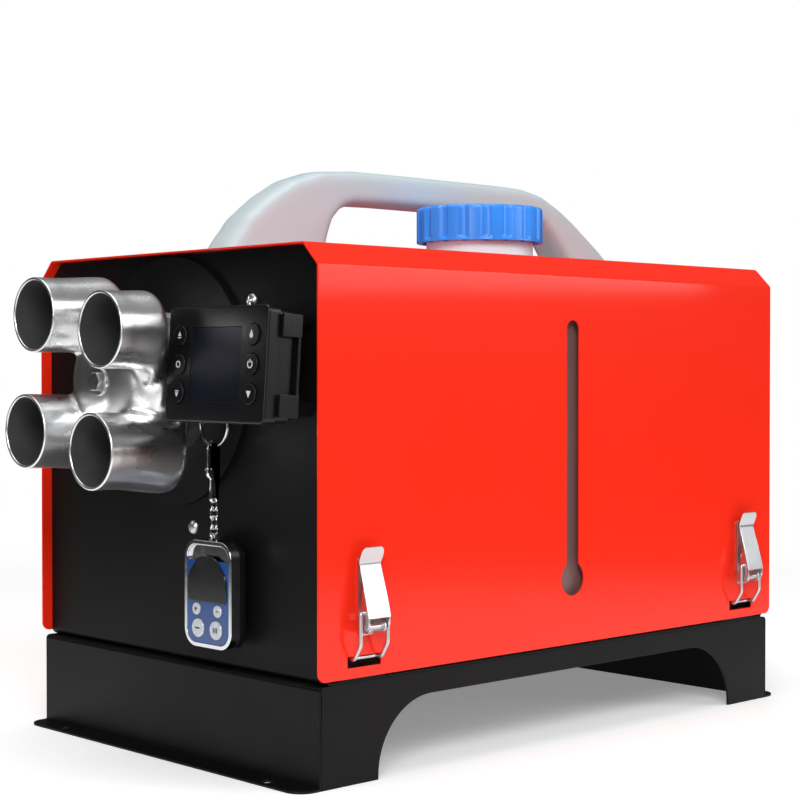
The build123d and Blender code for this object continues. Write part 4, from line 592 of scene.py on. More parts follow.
def drawn_in(outline, distance):
    """Outline moved towards its inside, square to the line between each corner's neighbours."""
    moved = []
    for k, (y, z) in enumerate(outline):
        before, after = outline[k - 1], outline[(k + 1) % len(outline)]
        run = Vector((after[0] - before[0], after[1] - before[1])).normalized()
        moved.append((y + run.y * distance, z - run.x * distance))
    return moved


handle_shape = bmesh.new()
for inset, half_width in HANDLE_LAYERS:
    grip_tool = placed("grip_tool", prism("grip_tool", drawn_in(GRIP_OUTLINE, -inset), 2 * HANDLE_HALF_WIDTH))
    layer = settled("handle_layer", prism("handle", drawn_in(HANDLE_OUTLINE, inset), half_width * MM),
                    [("BOOLEAN", {"operation": "DIFFERENCE", "solver": "EXACT", "object": grip_tool})])
    bpy.data.objects.remove(grip_tool)
    handle_shape.from_mesh(layer)
    bpy.data.meshes.remove(layer)
handle_mesh = settled("handle", as_mesh("handle", handle_shape),
                      [("REMESH", {"mode": "VOXEL", "voxel_size": 1.5 * MM}),
                       ("SMOOTH", {"factor": 0.5, "iterations": 20})])
moulded_white = moulded_white_material()
tank_shape = tank_without_handle()
tank_shape.from_mesh(handle_mesh)
bpy.data.meshes.remove(handle_mesh)
tank_piece = add_piece("moulded_tank", shaded("moulded_tank", tank_shape, 50), moulded_white, "casing",
                       "tank_plastic", "fuel_tank")
# The tank's lower walls, seen only through the cover's sight slot, get a dark reddish colour: painted shade, with
# a painted red cast of light bounced off the cover.
painted_shade_wall = finish_material("painted_shade_wall", (0.22, 0.12, 0.115), 0.4, 0.5, dark=0.9, patch=14.0, grain=900.0,
                              bump=0.2)
# The neck under the cap gets a brighter copy of the tank's white: painted light that lifts it out of the cap's
# shadow.
neck_painted_light = finish_material("neck_painted_light", (0.9, 0.92, 0.93), 0.36, 0.44, dark=0.97, patch=14.0, grain=900.0,
                             bump=0.15)
NECK_REACH = 38.0 * MM
SHADE_DROP = 12.0 * MM
neck_axis = centre_of("fuel_cap")
for material in (painted_shade_wall, neck_painted_light):
    tank_piece.data.materials.append(material)
# Faces round the neck take the painted light; faces more than SHADE_DROP below the tank's top take the painted
# shade.
for face in tank_piece.data.polygons:
    from_axis = math.hypot(face.center.x - neck_axis.x, face.center.y - neck_axis.y)
    if face.center.z > TANK_TOP - 1 * MM and from_axis < NECK_REACH:
        face.material_index = 2
    elif face.center.z < TANK_TOP - SHADE_DROP:
        face.material_index = 1
seal_rubber = finish_material("seal_rubber", (0.02, 0.02, 0.02), 0.55, 0.7, grain=1500.0, bump=0.3)
dress("cap_liner", seal_rubber)


# ---------------------------------------------------------------- filler cap
# A moulded blue screw cap. Upright flutes run round its whole skirt for grip, its top edge is
# rounded, and the top is dished a little.
CAP_SIZES = {"Radius": 39.0 * MM, "Height": 21.5 * MM, "Flutes": 18, "Flute Depth": 1.5 * MM,
             "Edge Rounding": 2.2 * MM, "Dish Depth": 0.5 * MM}
CAP_WALL = 3.0 * MM
COLUMNS_PER_FLUTE = 12.0
CAP_ROWS = 61
FLUTE_FULLNESS = 0.7
CAP_SUNK = 1.5 * MM
cap_tree, cap_ids, given, out = geometry_tree("fluted_cap", CAP_SIZES)
size = given.outputs


def cap_sum(operation, first, second=0.0):
    """Math node in the cap's tree."""
    return arithmetic(cap_tree, operation, first, second)


around = cap_sum("ADD", cap_sum("MULTIPLY", size["Flutes"], COLUMNS_PER_FLUTE), 1.0)
sheet = step(cap_tree, "GeometryNodeMeshGrid", {"Size X": 1.0, "Size Y": 1.0, "Vertices X": around,
                                                "Vertices Y": CAP_ROWS})
# along the sheet: the first half rises up the skirt, then it bends over the top edge and runs inward
place = step(cap_tree, "ShaderNodeSeparateXYZ", {0: step(cap_tree, "GeometryNodeInputPosition")}).node.outputs
angle = cap_sum("MULTIPLY", cap_sum("ADD", place[0], 0.5), math.tau)
along = cap_sum("ADD", place[1], 0.5)
rise = remap(cap_tree, along, 0.0, 0.5, 0.0, 1.0)
bend = remap(cap_tree, along, 0.5, 0.7, 0.0, math.pi / 2)
inward = remap(cap_tree, along, 0.7, 1.0, 0.0, 1.0)
straight = cap_sum("SUBTRACT", size["Height"], size["Edge Rounding"])
corner_rise = cap_sum("MULTIPLY", cap_sum("SINE", bend), size["Edge Rounding"])
height = cap_sum("ADD", cap_sum("MULTIPLY", rise, straight), corner_rise)
dish = cap_sum("MULTIPLY", remap(cap_tree, inward, 0.2, 0.3, 0.0, 1.0), size["Dish Depth"])
height = cap_sum("SUBTRACT", height, dish)
corner_in = cap_sum("MULTIPLY", size["Edge Rounding"], cap_sum("SUBTRACT", 1.0, cap_sum("COSINE", bend)))
radius = cap_sum("SUBTRACT", size["Radius"], corner_in)
wave = cap_sum("COSINE", cap_sum("MULTIPLY", angle, size["Flutes"]))
hollow = cap_sum("POWER", cap_sum("MAXIMUM", wave), FLUTE_FULLNESS)
hollow = cap_sum("MULTIPLY", hollow, size["Flute Depth"])
hollow = cap_sum("MULTIPLY", hollow, remap(cap_tree, rise, 0.05, 0.12, 0.0, 1.0))
radius = cap_sum("SUBTRACT", radius, hollow)
radius = cap_sum("MULTIPLY", radius, cap_sum("SUBTRACT", 1.0, inward))
turned = triple(cap_tree, cap_sum("MULTIPLY", radius, cap_sum("COSINE", angle)),
                cap_sum("MULTIPLY", radius, cap_sum("SINE", angle)), height)
formed = step(cap_tree, "GeometryNodeSetPosition", {"Geometry": sheet, "Position": turned})
closed = step(cap_tree, "GeometryNodeMergeByDistance", {"Geometry": formed, "Distance": 0.02 * MM})
cap_blue = finish_material("cap_blue", (0.045, 0.3, 1.0), 0.22, 0.3, dark=0.95, patch=30.0, grain=1500.0,
                           bump=0.1, Specular_IOR_Level=0.4)
finish_tree(cap_tree, out, closed, cap_blue)
cap_mesh = grown("fluted_cap", [(0, 0, 0)], cap_tree, cap_ids, CAP_SIZES)
cap_centre = centre_of("fuel_cap")
cap_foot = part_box("fuel_cap")[1][2] - CAP_SUNK - CAP_SIZES["Height"]
cap_mesh.transform(Matrix.Translation((cap_centre.x, cap_centre.y, cap_foot)))
cap_mesh = settled("fluted_cap", cap_mesh, [("SOLIDIFY", {"thickness": CAP_WALL, "offset": -1.0})])
cap_mesh.shade_smooth()
cap_mesh.set_sharp_from_angle(angle=GROWN_CREASE)
add_piece("fluted_cap", cap_mesh, cap_blue, "cap", "cap_plastic", "fuel_cap")


# ---------------------------------------------------------------- cover
# Orange-red painted sheet, bent down over the chassis with a chamfer along each top edge. The
# paint rounds the sheet's cut edges, at its ends, the sight slot, the handle opening and the slots.
red_paint = finish_material("red_paint", (0.9, 0.0235, 0.0068), 0.3, 0.36, dark=0.985, patch=6.0, grain=900.0,
                            bump=0.06, Coat_Weight=0.45, Coat_Roughness=0.07, Specular_IOR_Level=0.06)
add_rounded("painted_cover", "cover_shell", 0.35 * MM, red_paint, "red_paint", least_angle=50)


# ---------------------------------------------------------------- four-way outlet
# A black ring against the panel, then one polished aluminium casting: a domed plenum on a rounded
# square flange, from which four tubes grow out with smooth valleys between them. One bolt holds it.
dress("splitter_ring", moulded_black)
OUTLET_CENTRE = centre_of("air_splitter")
NOZZLE_RADIUS = 21.0 * MM
NOZZLE_REACH = 66.0 * MM / math.sqrt(2)
NOZZLE_ROLL = -8.0
NOZZLE_WALL = 1.8 * MM
TRUE_LENGTH = 10.0 * MM
TRUE_FADE = 4.0 * MM
HEEL_RADIUS = 21.6 * MM
# each tube's straight run, the length of its bend, and how far its heel lies off the mouth's axis
TUBE_RUNS = ((30.0, 9.5, (0, 0)), (47.0, 11.0, (-1.0, 1.0)), (47.0, 11.0, (-1.5, -1.5)),
             (50.0, 11.0, (-1.8, -3.2)))
ROOT_RADIUS = 22.5 * MM
ROOT_SHARE = 0.42
DOME_FOOT = 37.0 * MM
# radius, rise above the flange and shift to the right of each ring of the dome
DOME_OUTLINE = ((37.0, 10.0, -1.5), (38.6, 24.0, -0.3), (37.8, 32.0, -0.7), (34.2, 38.0, -3.2), (29.5, 43.0, -4.5),
                (23.0, 46.0, -5.0), (16.5, 47.6, -4.5), (11.0, 48.0, -2.5))
FLANGE_HALF = 39.0 * MM
FLANGE_CORNER = 34.0 * MM
FLANGE_THICKNESS = 2.0 * MM
BEYOND = 3.0 * MM
outlet_low, outlet_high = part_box("air_splitter")
outlet_front = outlet_low[1]
outlet_back = outlet_high[1]
NOZZLE_PLACES = [(NOZZLE_REACH * math.cos(math.radians(45 + 90 * k + NOZZLE_ROLL)),
                  NOZZLE_REACH * math.sin(math.radians(45 + 90 * k + NOZZLE_ROLL))) for k in range(4)]


def add_tube(shape, rings, segments=96):
    """Closed round form through rings of (x, y, z, radius), all facing along Y."""
    loops = []
    for x, y, z, radius in rings:
        loops.append([shape.verts.new((x + radius * math.cos(math.tau * k / segments), y,
                                       z + radius * math.sin(math.tau * k / segments)))
                      for k in range(segments)])
    for first, second in zip(loops, loops[1:]):
        for k in range(segments):
            shape.faces.new((first[k - 1], first[k], second[k], second[k - 1]))
    shape.faces.new(loops[0])
    shape.faces.new(loops[-1])


def soft_start_and_end(run):
    """Share of the way at a run from 0 to 1, slow at both ends."""
    return run * run * (3 - 2 * run)


ROOT_STEPS = 12
HEEL_STEPS = 8
ROOT_SOFTNESS = 0.4


def tube_rings(x, z, inset, bend_start, bend_end, drift):
    """Rings of one tube: from its root in the plenum round a bend, then straight out to its mouth."""
    centre_x, centre_z = OUTLET_CENTRE.x, OUTLET_CENTRE.z
    heel_x, heel_z = centre_x + x + drift[0], centre_z + z + drift[1]
    root_x, root_z = centre_x + ROOT_SHARE * x, centre_z + ROOT_SHARE * z
    rings = [(root_x, outlet_back + BEYOND, root_z, ROOT_RADIUS - inset)]
    for part in range(ROOT_STEPS + 1):
        run = part / ROOT_STEPS
        ease = soft_start_and_end(run) * ROOT_SOFTNESS + run * (1 - ROOT_SOFTNESS)
        rings.append((root_x + (heel_x - root_x) * ease, bend_end + (bend_start - bend_end) * run,
                      root_z + (heel_z - root_z) * ease, ROOT_RADIUS + (HEEL_RADIUS - ROOT_RADIUS) * ease - inset))
    true_y = outlet_front + TRUE_LENGTH
    for part in range(1, HEEL_STEPS + 1):
        run = part / HEEL_STEPS
        ease = soft_start_and_end(run)
        rings.append((heel_x - drift[0] * ease, bend_start + (true_y - bend_start) * run,
                      heel_z - drift[1] * ease, HEEL_RADIUS + (NOZZLE_RADIUS - HEEL_RADIUS) * ease - inset))
    rings.append((centre_x + x, outlet_front - BEYOND, centre_z + z, NOZZLE_RADIUS - inset))
    return rings


def outlet_form(inset):
    """Dome and four tubes as overlapping closed forms, drawn in by inset."""
    shape = bmesh.new()
    centre_x, centre_z = OUTLET_CENTRE.x, OUTLET_CENTRE.z
    dome = [(centre_x + DOME_OUTLINE[0][2] * MM, outlet_back + BEYOND, centre_z, DOME_FOOT - inset)]
    for radius, rise, shift in DOME_OUTLINE:
        dome.append((centre_x + shift * MM, outlet_back - rise * MM + inset, centre_z, radius * MM - 0.7 * inset))
    add_tube(shape, dome)
    for (x, z), (straight, bend, drift) in zip(NOZZLE_PLACES, TUBE_RUNS):
        bend_start = outlet_front + straight * MM
        add_tube(shape, tube_rings(x, z, inset, bend_start, bend_start + bend * MM,
                                   (drift[0] * MM, drift[1] * MM)))
    bmesh.ops.recalc_face_normals(shape, faces=shape.faces)
    return as_mesh("outlet_form", shape)


NEAR_WALL = (0.7, 1.3)


def blended(mesh, wall_radius, steps):
    """One skin round overlapping forms, its valleys filled, its straight tubes true again."""
    skin = settled("blended", mesh, [("REMESH", {"name": "join", "mode": "VOXEL", "voxel_size": 1.35 * MM}),
                                     ("SMOOTH", {"name": "fill", "factor": 0.5, "iterations": steps}),
                                     ("REMESH", {"name": "even", "mode": "VOXEL", "voxel_size": 1.3 * MM}),
                                     ("SMOOTH", {"name": "ease", "factor": 0.5, "iterations": steps // 2})])
    for vert in skin.vertices:
        blend = min(1.0, max(0.0, (outlet_front + TRUE_LENGTH - vert.co.y) / TRUE_FADE))
        if not blend:
            continue
        axis = min(((OUTLET_CENTRE.x + x, OUTLET_CENTRE.z + z) for x, z in NOZZLE_PLACES),
                   key=lambda a: (vert.co.x - a[0]) ** 2 + (vert.co.z - a[1]) ** 2)
        away = Vector((vert.co.x - axis[0], 0, vert.co.z - axis[1]))
        if NEAR_WALL[0] * wall_radius < away.length < NEAR_WALL[1] * wall_radius:
            away = away.lerp(away.normalized() * wall_radius, blend)
            vert.co = (axis[0] + away.x, vert.co.y, axis[1] + away.z)
    return skin


CORNER_STEPS = 12
FLANGE_EASE = 0.7 * MM


def flange_plate():
    """Rounded square plate with an eased front edge, turned as the nozzles are."""
    shape = bmesh.new()
    flat = FLANGE_HALF - FLANGE_CORNER
    corners = []
    for quarter in range(4):
        for part in range(CORNER_STEPS + 1):
            turn = math.radians(90 * quarter + 90 / CORNER_STEPS * part)
            sign_x = 1 if quarter in (0, 3) else -1
            sign_z = 1 if quarter in (0, 1) else -1
            corners.append((sign_x * flat + FLANGE_CORNER * math.cos(turn),
                            sign_z * flat + FLANGE_CORNER * math.sin(turn)))
    roll = math.radians(NOZZLE_ROLL)
    loop = [shape.verts.new((OUTLET_CENTRE.x + x * math.cos(roll) - z * math.sin(roll), outlet_back,
                             OUTLET_CENTRE.z + x * math.sin(roll) + z * math.cos(roll)))
            for x, z in corners]
    plate = shape.faces.new(loop)
    for vert in pushed(shape, plate):
        vert.co.y -= FLANGE_THICKNESS
    bmesh.ops.recalc_face_normals(shape, faces=shape.faces)
    front = [edge for edge in shape.edges
             if all(abs(vert.co.y - outlet_back + FLANGE_THICKNESS) < 1e-6 for vert in edge.verts)]
    bmesh.ops.bevel(shape, geom=front, offset=FLANGE_EASE, segments=3, profile=0.5, affect="EDGES")
    return as_mesh("flange", shape)


outer_skin = blended(outlet_form(0), NOZZLE_RADIUS, 12)
inner_skin = blended(outlet_form(NOZZLE_WALL), NOZZLE_RADIUS - NOZZLE_WALL, 8)
inner_finder = BVHTree.FromPolygons([vert.co for vert in inner_skin.vertices],
                                    [list(face.vertices) for face in inner_skin.polygons])
bore_tool = placed("bore_tool", inner_skin)
flange_tool = placed("flange_tool", flange_plate())
keep_shape = bmesh.new()
bmesh.ops.create_cube(keep_shape, size=1.0)
keep_back, keep_front = outlet_back, outlet_front + NOZZLE_WALL / 2
bmesh.ops.scale(keep_shape, verts=keep_shape.verts, vec=(0.3, keep_back - keep_front, 0.3))
bmesh.ops.translate(keep_shape, verts=keep_shape.verts,
                    vec=(OUTLET_CENTRE.x, (keep_back + keep_front) / 2, OUTLET_CENTRE.z))
keep_tool = placed("keep_tool", as_mesh("keep", keep_shape))
casting_mesh = settled("outlet_casting", outer_skin,
                       [("BOOLEAN", {"name": "flange", "operation": "UNION", "solver": "MANIFOLD",
                                     "object": flange_tool}),
                        ("BOOLEAN", {"name": "bores", "operation": "DIFFERENCE", "solver": "MANIFOLD",
                                     "object": bore_tool}),
                        ("BOOLEAN", {"name": "ends", "operation": "INTERSECT", "solver": "MANIFOLD",
                                     "object": keep_tool})])
for tool in (bore_tool, flange_tool, keep_tool):
    mesh = tool.data
    bpy.data.objects.remove(tool)
    bpy.data.meshes.remove(mesh)
casting_mesh.shade_smooth()
casting_mesh.set_sharp_from_angle(angle=math.radians(45))


polished_casting = finish_material("polished_casting", (0.88, 0.885, 0.89), 0.24, 0.34, dark=0.92, metallic=1.0,
                                   patch=22.0, grain=60.0, bump=0.05)
# The tubes' bores get a near-black, barely metallic finish: painted shade inside the bores, much darker than the
# bare metal.
bore_painted_shade = finish_material("bore_painted_shade", (0.07, 0.07, 0.072), 0.5, 0.65, metallic=0.3, patch=60.0,
                            grain=1500.0, bump=0.3)
add_piece("outlet_casting", casting_mesh, polished_casting, "casing", "cast_aluminium", "air_splitter")
casting_mesh.materials.append(bore_painted_shade)
# Faces on the inner skin, apart from the flat back, take the painted shade.
BORE_REACH = 0.35 * MM
for face in casting_mesh.polygons:
    near = inner_finder.find_nearest(face.center)
    face.material_index = int(near[3] < BORE_REACH and abs(face.center.y - outlet_back) > 0.1 * MM)

RIM_SIZES = {"Ring Radius": NOZZLE_RADIUS - NOZZLE_WALL / 2, "Lip Radius": NOZZLE_WALL / 2}
rim_tree, rim_ids, given, out = geometry_tree("nozzle_lips", RIM_SIZES)
ring = swept(rim_tree, circle(rim_tree, 96, given.outputs["Ring Radius"]),
             circle(rim_tree, 16, given.outputs["Lip Radius"]))
lips = copies(rim_tree, given.outputs["Geometry"], ring, Rotation=(math.pi / 2, 0, 0))
finish_tree(rim_tree, out, lips, polished_casting)
rim_places = [(OUTLET_CENTRE.x + x, outlet_front + NOZZLE_WALL / 2, OUTLET_CENTRE.z + z)
              for x, z in NOZZLE_PLACES]
add_piece("nozzle_lips", grown("nozzle_lips", rim_places, rim_tree, rim_ids, RIM_SIZES), polished_casting,
          "casing", "cast_aluminium")

WASHER_RADIUS = 7.8 * MM
WASHER_THICKNESS = 1.2 * MM
WASHER_EASE = 0.3 * MM
bolt_shape = rounded_copy("splitter_bolt", 0.5 * MM)
dome_y = outlet_back - DOME_OUTLINE[-1][1] * MM
add_tube(bolt_shape, [(OUTLET_CENTRE.x, dome_y + 1 * MM, OUTLET_CENTRE.z, WASHER_RADIUS),
                      (OUTLET_CENTRE.x, dome_y - WASHER_THICKNESS + WASHER_EASE, OUTLET_CENTRE.z, WASHER_RADIUS),
                      (OUTLET_CENTRE.x, dome_y - WASHER_THICKNESS, OUTLET_CENTRE.z, WASHER_RADIUS - WASHER_EASE)],
         48)
bmesh.ops.recalc_face_normals(bolt_shape, faces=bolt_shape.faces)
add_piece("bolt_and_washer", shaded("bolt_and_washer", bolt_shape), zinc, "casing", "zinc_steel",
          "splitter_bolt")


# ---------------------------------------------------------------- display
# A black moulded housing in two shells, gripped by a holder on four posts. A dark glass screen sits
# in its bezel between two columns of round push buttons, each with a raised pale mark.
gloss_black = finish_material("gloss_black", (0.005, 0.005, 0.006), 0.26, 0.34, grain=2600.0, bump=0.15,
                              Specular_IOR_Level=0.3)
for name in ("display_front", "display_back", "display_bracket"):
    add_rounded(f"moulded_{name}", name, 0.3 * MM, gloss_black, "black_plastic", least_angle=40)
dress("display_lead", hose_rubber)
screen_glass = finish_material("screen_glass", (0.004, 0.0045, 0.0105), 0.34, 0.4, patch=12.0, grain=2600.0,
                               bump=0.1, Specular_IOR_Level=0.2)
dress("display_screen", screen_glass)

DISPLAY_LEAN = math.radians(4.0)
KEY_COLUMN = 31.0 * MM
KEY_SPACING = 15.5 * MM
KEY_RISE = 1.2 * MM
FACE_ABOVE_SCREEN = 0.9 * MM
screen_centre = centre_of("display_screen")
DISPLAY_AXES = Matrix(((1, 0, 0), (0, math.sin(DISPLAY_LEAN), -math.cos(DISPLAY_LEAN)),
                       (0, math.cos(DISPLAY_LEAN), math.sin(DISPLAY_LEAN)))).to_4x4()
DISPLAY_PLANE = Matrix.Translation(screen_centre) @ DISPLAY_AXES @ Matrix.Translation(
    (0, 0, FACE_ABOVE_SCREEN))


def mark_prism(shape, outline, low, high, holes=()):
    """Raised flat mark drawn as a prism; outline and the hole in it are lists of (x, y) in mm."""
    bottom, top, inner_bottom, inner_top = (
        [shape.verts.new((x * MM, y * MM, level)) for x, y in edge]
        for edge, level in ((outline, low), (outline, high), (holes, low), (holes, high)))
    if not holes:
        shape.faces.new(top)
        shape.faces.new(bottom[::-1])
    for k in range(len(outline)):
        shape.faces.new((bottom[k - 1], bottom[k], top[k], top[k - 1]))
    for k in range(len(holes)):
        shape.faces.new((top[k - 1], top[k], inner_top[k], inner_top[k - 1]))
        shape.faces.new((inner_bottom[k - 1], inner_bottom[k], bottom[k], bottom[k - 1]))
        shape.faces.new((inner_top[k - 1], inner_top[k], inner_bottom[k], inner_bottom[k - 1]))


def add_mark(name, marks, low, high, place, material, key, slot):
    """The mark on a key: its (outline, hole) pairs as prisms from low to high over the key's face."""
    shape = bmesh.new()
    for outline, holes in marks:
        mark_prism(shape, outline, low, high, holes)
    bmesh.ops.recalc_face_normals(shape, faces=shape.faces)
    mesh = as_mesh(name, shape)
    mesh.transform(place)
    add_piece(name, mesh, material, key, slot)


def round_outline(radius, count=24, start=0.0, sweep=math.tau):
    """Points on an arc, in mm."""
    return [(radius * math.cos(start + sweep * k / count), radius * math.sin(start + sweep * k / count))
            for k in range(count)]


def arc_band(radius, width, start, end, count=18):
    """Outline of a bent bar, in mm."""
    angles = [math.radians(start + (end - start) * k / count) for k in range(count + 1)]
    outer = [((radius + width / 2) * math.cos(a), (radius + width / 2) * math.sin(a)) for a in angles]
    inner = [((radius - width / 2) * math.cos(a), (radius - width / 2) * math.sin(a)) for a in angles]
    return outer + inner[::-1]


DROP_MARK = [(0.0, 2.6)] + [(1.35 * math.cos(math.radians(a)), -0.6 + 1.35 * math.sin(math.radians(a)))
                            for a in range(20, -201, -20)]
KEY_MARKS = {
    1: [([(-1.5, -1.4), (1.5, -1.4), (1.5, -0.8), (-1.5, -0.8)], ()),
        ([(-1.5, -0.2), (1.5, -0.2), (0, 2.2)], ())],
    2: [(round_outline(1.9), round_outline(1.35))],
    3: [([(-1.5, 1.4), (-1.5, 0.8), (1.5, 0.8), (1.5, 1.4)], ()),
        ([(-1.5, 0.2), (0, -2.2), (1.5, 0.2)], ())],
    4: [(DROP_MARK, ())],
    5: [(arc_band(1.9, 0.6, 125, 415), ()), ([(-0.3, 0.6), (0.3, 0.6), (0.3, 2.6), (-0.3, 2.6)], ())],
    6: [([(-1.9, 1.6), (1.9, 1.6), (0, -2.0)], ())],
}
white_mark = finish_material("white_mark", (0.62, 0.63, 0.65), 0.4, 0.5, grain=2600.0)
for number, marks in KEY_MARKS.items():
    name = f"display_button_{number}"
    add_rounded(f"moulded_{name}", name, 0.12 * MM, gloss_black, "black_plastic", name, 50)
    column = -1 if number <= 3 else 1
    row = (1, 0, -1)[(number - 1) % 3]
    place = DISPLAY_PLANE @ Matrix.Translation((column * KEY_COLUMN, row * KEY_SPACING, 0))
    add_mark(f"mark_{number}", marks, KEY_RISE - 0.05 * MM, KEY_RISE + 0.12 * MM, place, white_mark, name,
             "silver_plastic")


# ---------------------------------------------------------------- key ring, clasp and chain
# A sprung split ring of two turns of bright wire hangs on a pin behind the display's corner. A cast
# lobster clasp with a sprung gate hangs on it, and four plain oval links carry the remote.
chrome = finish_material("chrome", (0.78, 0.79, 0.8), 0.07, 0.14, dark=0.9, metallic=1.0, patch=200.0,
                         grain=2600.0, bump=0.05)
SPLIT_RING_SIZES = {"Loop Radius": 12.0 * MM, "Wire Radius": 0.58 * MM, "Ring Thickness": 1.1 * MM, "Turns": 1.96}
ring_tree, ring_ids, given, out = geometry_tree("split_ring", SPLIT_RING_SIZES)
size = given.outputs
coil = step(ring_tree, "GeometryNodeCurveSpiral",
            {"Resolution": 64, "Rotations": size["Turns"], "Start Radius": size["Loop Radius"],
             "End Radius": size["Loop Radius"], "Height": size["Ring Thickness"]})
wound = swept(ring_tree, coil, circle(ring_tree, 10, size["Wire Radius"]), True)
finish_tree(ring_tree, out, wound, chrome)
ring_mesh = grown("split_ring", [(0, 0, 0)], ring_tree, ring_ids, SPLIT_RING_SIZES)
RING_START = 0.6
ring_centre = centre_of("key_ring")
ring_mesh.transform(Matrix.Translation(ring_centre) @ Matrix.Rotation(math.pi / 2, 4, "X")
                    @ Matrix.Rotation(RING_START, 4, "Z")
                    @ Matrix.Translation((0, 0, -SPLIT_RING_SIZES["Ring Thickness"] / 2)))
add_piece("split_ring", ring_mesh, chrome, "ring", "chrome", "key_ring")

add_rounded("cast_clasp", "clasp_body", 0.55 * MM, chrome, "chrome", "clasp", 40, 3)
add_rounded("sprung_gate", "clasp_gate", 0.4 * MM, chrome, "chrome", "gate", 40, 3)

LINK_SIZES = {"Wire Radius": 0.7 * MM, "Width": 4.4 * MM, "Length": 6.8 * MM, "Links": 4}
chain_low, chain_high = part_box("key_chain")
LINK_SIZES["Pitch"] = ((chain_high[2] - chain_low[2]) - LINK_SIZES["Length"]
                       - 2 * LINK_SIZES["Wire Radius"]) / (LINK_SIZES["Links"] - 1)
link_tree, link_ids, given, out = geometry_tree("chain_links", LINK_SIZES)
size = given.outputs
drop = triple(link_tree, z=arithmetic(link_tree, "MULTIPLY", size["Pitch"], -1.0))
row = step(link_tree, "GeometryNodeMeshLine", {"Count": size["Links"], "Offset": drop})
oval = step(link_tree, "GeometryNodeCurvePrimitiveQuadrilateral", {0: size["Width"], 1: size["Length"]})
half_width = arithmetic(link_tree, "MULTIPLY", size["Width"], 0.499)
bent = step(link_tree, "GeometryNodeFilletCurve", {"Curve": oval, "Radius": half_width, "Count": 10}, mode="POLY")
link = swept(link_tree, bent, circle(link_tree, 10, size["Wire Radius"]))
upright = step(link_tree, "GeometryNodeTransform", {"Geometry": link, "Rotation": (math.pi / 2, 0, 0)})
turn = arithmetic(link_tree, "MULTIPLY", step(link_tree, "GeometryNodeInputIndex"), math.pi / 2)
chain = copies(link_tree, row, upright, Rotation=triple(link_tree, z=turn))
finish_tree(link_tree, out, chain, chrome)
chain_mesh = grown("chain_links", [(0, 0, 0)], link_tree, link_ids, LINK_SIZES)
chain_centre = centre_of("key_chain")
chain_top = chain_high[2] - LINK_SIZES["Length"] / 2 - LINK_SIZES["Wire Radius"]
chain_mesh.transform(Matrix.Translation((chain_centre.x, chain_centre.y, chain_top)))
add_piece("chain_links", chain_mesh, chrome, "clasp", "chrome", "key_chain")


# ---------------------------------------------------------------- remote
# A small remote: black rear shell, chrome band with an arched top, clear blue face, a smoked window
# that narrows towards the top, and four silvered buttons with small dark marks.
for name, slot, finish in (("fob_back", "black_plastic", gloss_black), ("fob_frame", "chrome", chrome)):
    add_rounded(f"remote_{name}", name, 0.4 * MM, finish, slot, "fob", 40, 3)
blue_face = finish_material("blue_face", (0.008, 0.06, 0.26), 0.12, 0.2, dark=0.75, patch=70.0, grain=2000.0,
                            bump=0.05, Coat_Weight=0.4, Coat_Roughness=0.06)
dress("fob_face", blue_face)
smoked = finish_material("smoked_window", (0.012, 0.0125, 0.013), 0.1, 0.18, patch=60.0, grain=1500.0, bump=0.05)
window_low, window_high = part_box("fob_window")
window_x = (window_low[0] + window_high[0]) / 2
window_top = window_high[2]
WINDOW_OUTLINE = ((-5.0, 1.0), (5.0, 1.0), (9.0, -1.0), (15.6, -8.0), (17.2, -12.0), (17.2, -22.0), (15.8, -24.2),
                  (-15.8, -24.2), (-17.2, -22.0), (-17.0, -12.0), (-15.6, -8.0), (-9.0, -1.0))
window_shape = bmesh.new()
window_back = [window_shape.verts.new((window_x + x * MM, window_high[1], window_top + z * MM))
               for x, z in WINDOW_OUTLINE]
window_face = window_shape.faces.new(window_back)
for vert in pushed(window_shape, window_face):
    vert.co.y = window_low[1]
bmesh.ops.recalc_face_normals(window_shape, faces=window_shape.faces)
window_rim = [edge for edge in window_shape.edges if all(vert.co.y < window_low[1] + 1e-6 for vert in edge.verts)]
bmesh.ops.bevel(window_shape, geom=window_rim, offset=0.45 * MM, segments=3, profile=0.5, affect="EDGES")
add_piece("smoked_window", shaded("smoked_window", window_shape), smoked, "fob", "smoke_plastic", "fob_window")

silver = finish_material("silvered_plastic", (0.62, 0.65, 0.68), 0.2, 0.32, metallic=0.35, patch=220.0,
                         grain=2400.0, bump=0.05)
dark_mark = finish_material("dark_mark", (0.03, 0.03, 0.035), 0.45, 0.55, grain=2600.0)


def bar_outline(left, right, half_height):
    """Upright rectangle between two places, in mm."""
    return [(left, -half_height), (right, -half_height), (right, half_height), (left, half_height)]


FOB_MARKS = {1: [round_outline(0.9)], 2: [bar_outline(-1.2, 1.2, 0.3)], 3: [bar_outline(-2.2, 2.2, 0.4)],
             4: [bar_outline(-1.9, -1.1, 1.4), bar_outline(-0.4, 0.4, 1.4), bar_outline(1.1, 1.9, 1.4)]}
FRONT_FACING = Matrix(((1, 0, 0), (0, 0, -1), (0, 1, 0))).to_4x4()
for number, marks in FOB_MARKS.items():
    name = f"fob_button_{number}"
    dress(name, silver)
    low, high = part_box(name)
    place = Matrix.Translation(((low[0] + high[0]) / 2, low[1], (low[2] + high[2]) / 2)) @ FRONT_FACING
    add_mark(f"fob_mark_{number}", [(outline, ()) for outline in marks], -0.05 * MM, 0.08 * MM, place, dark_mark,
             name, "black_plastic")


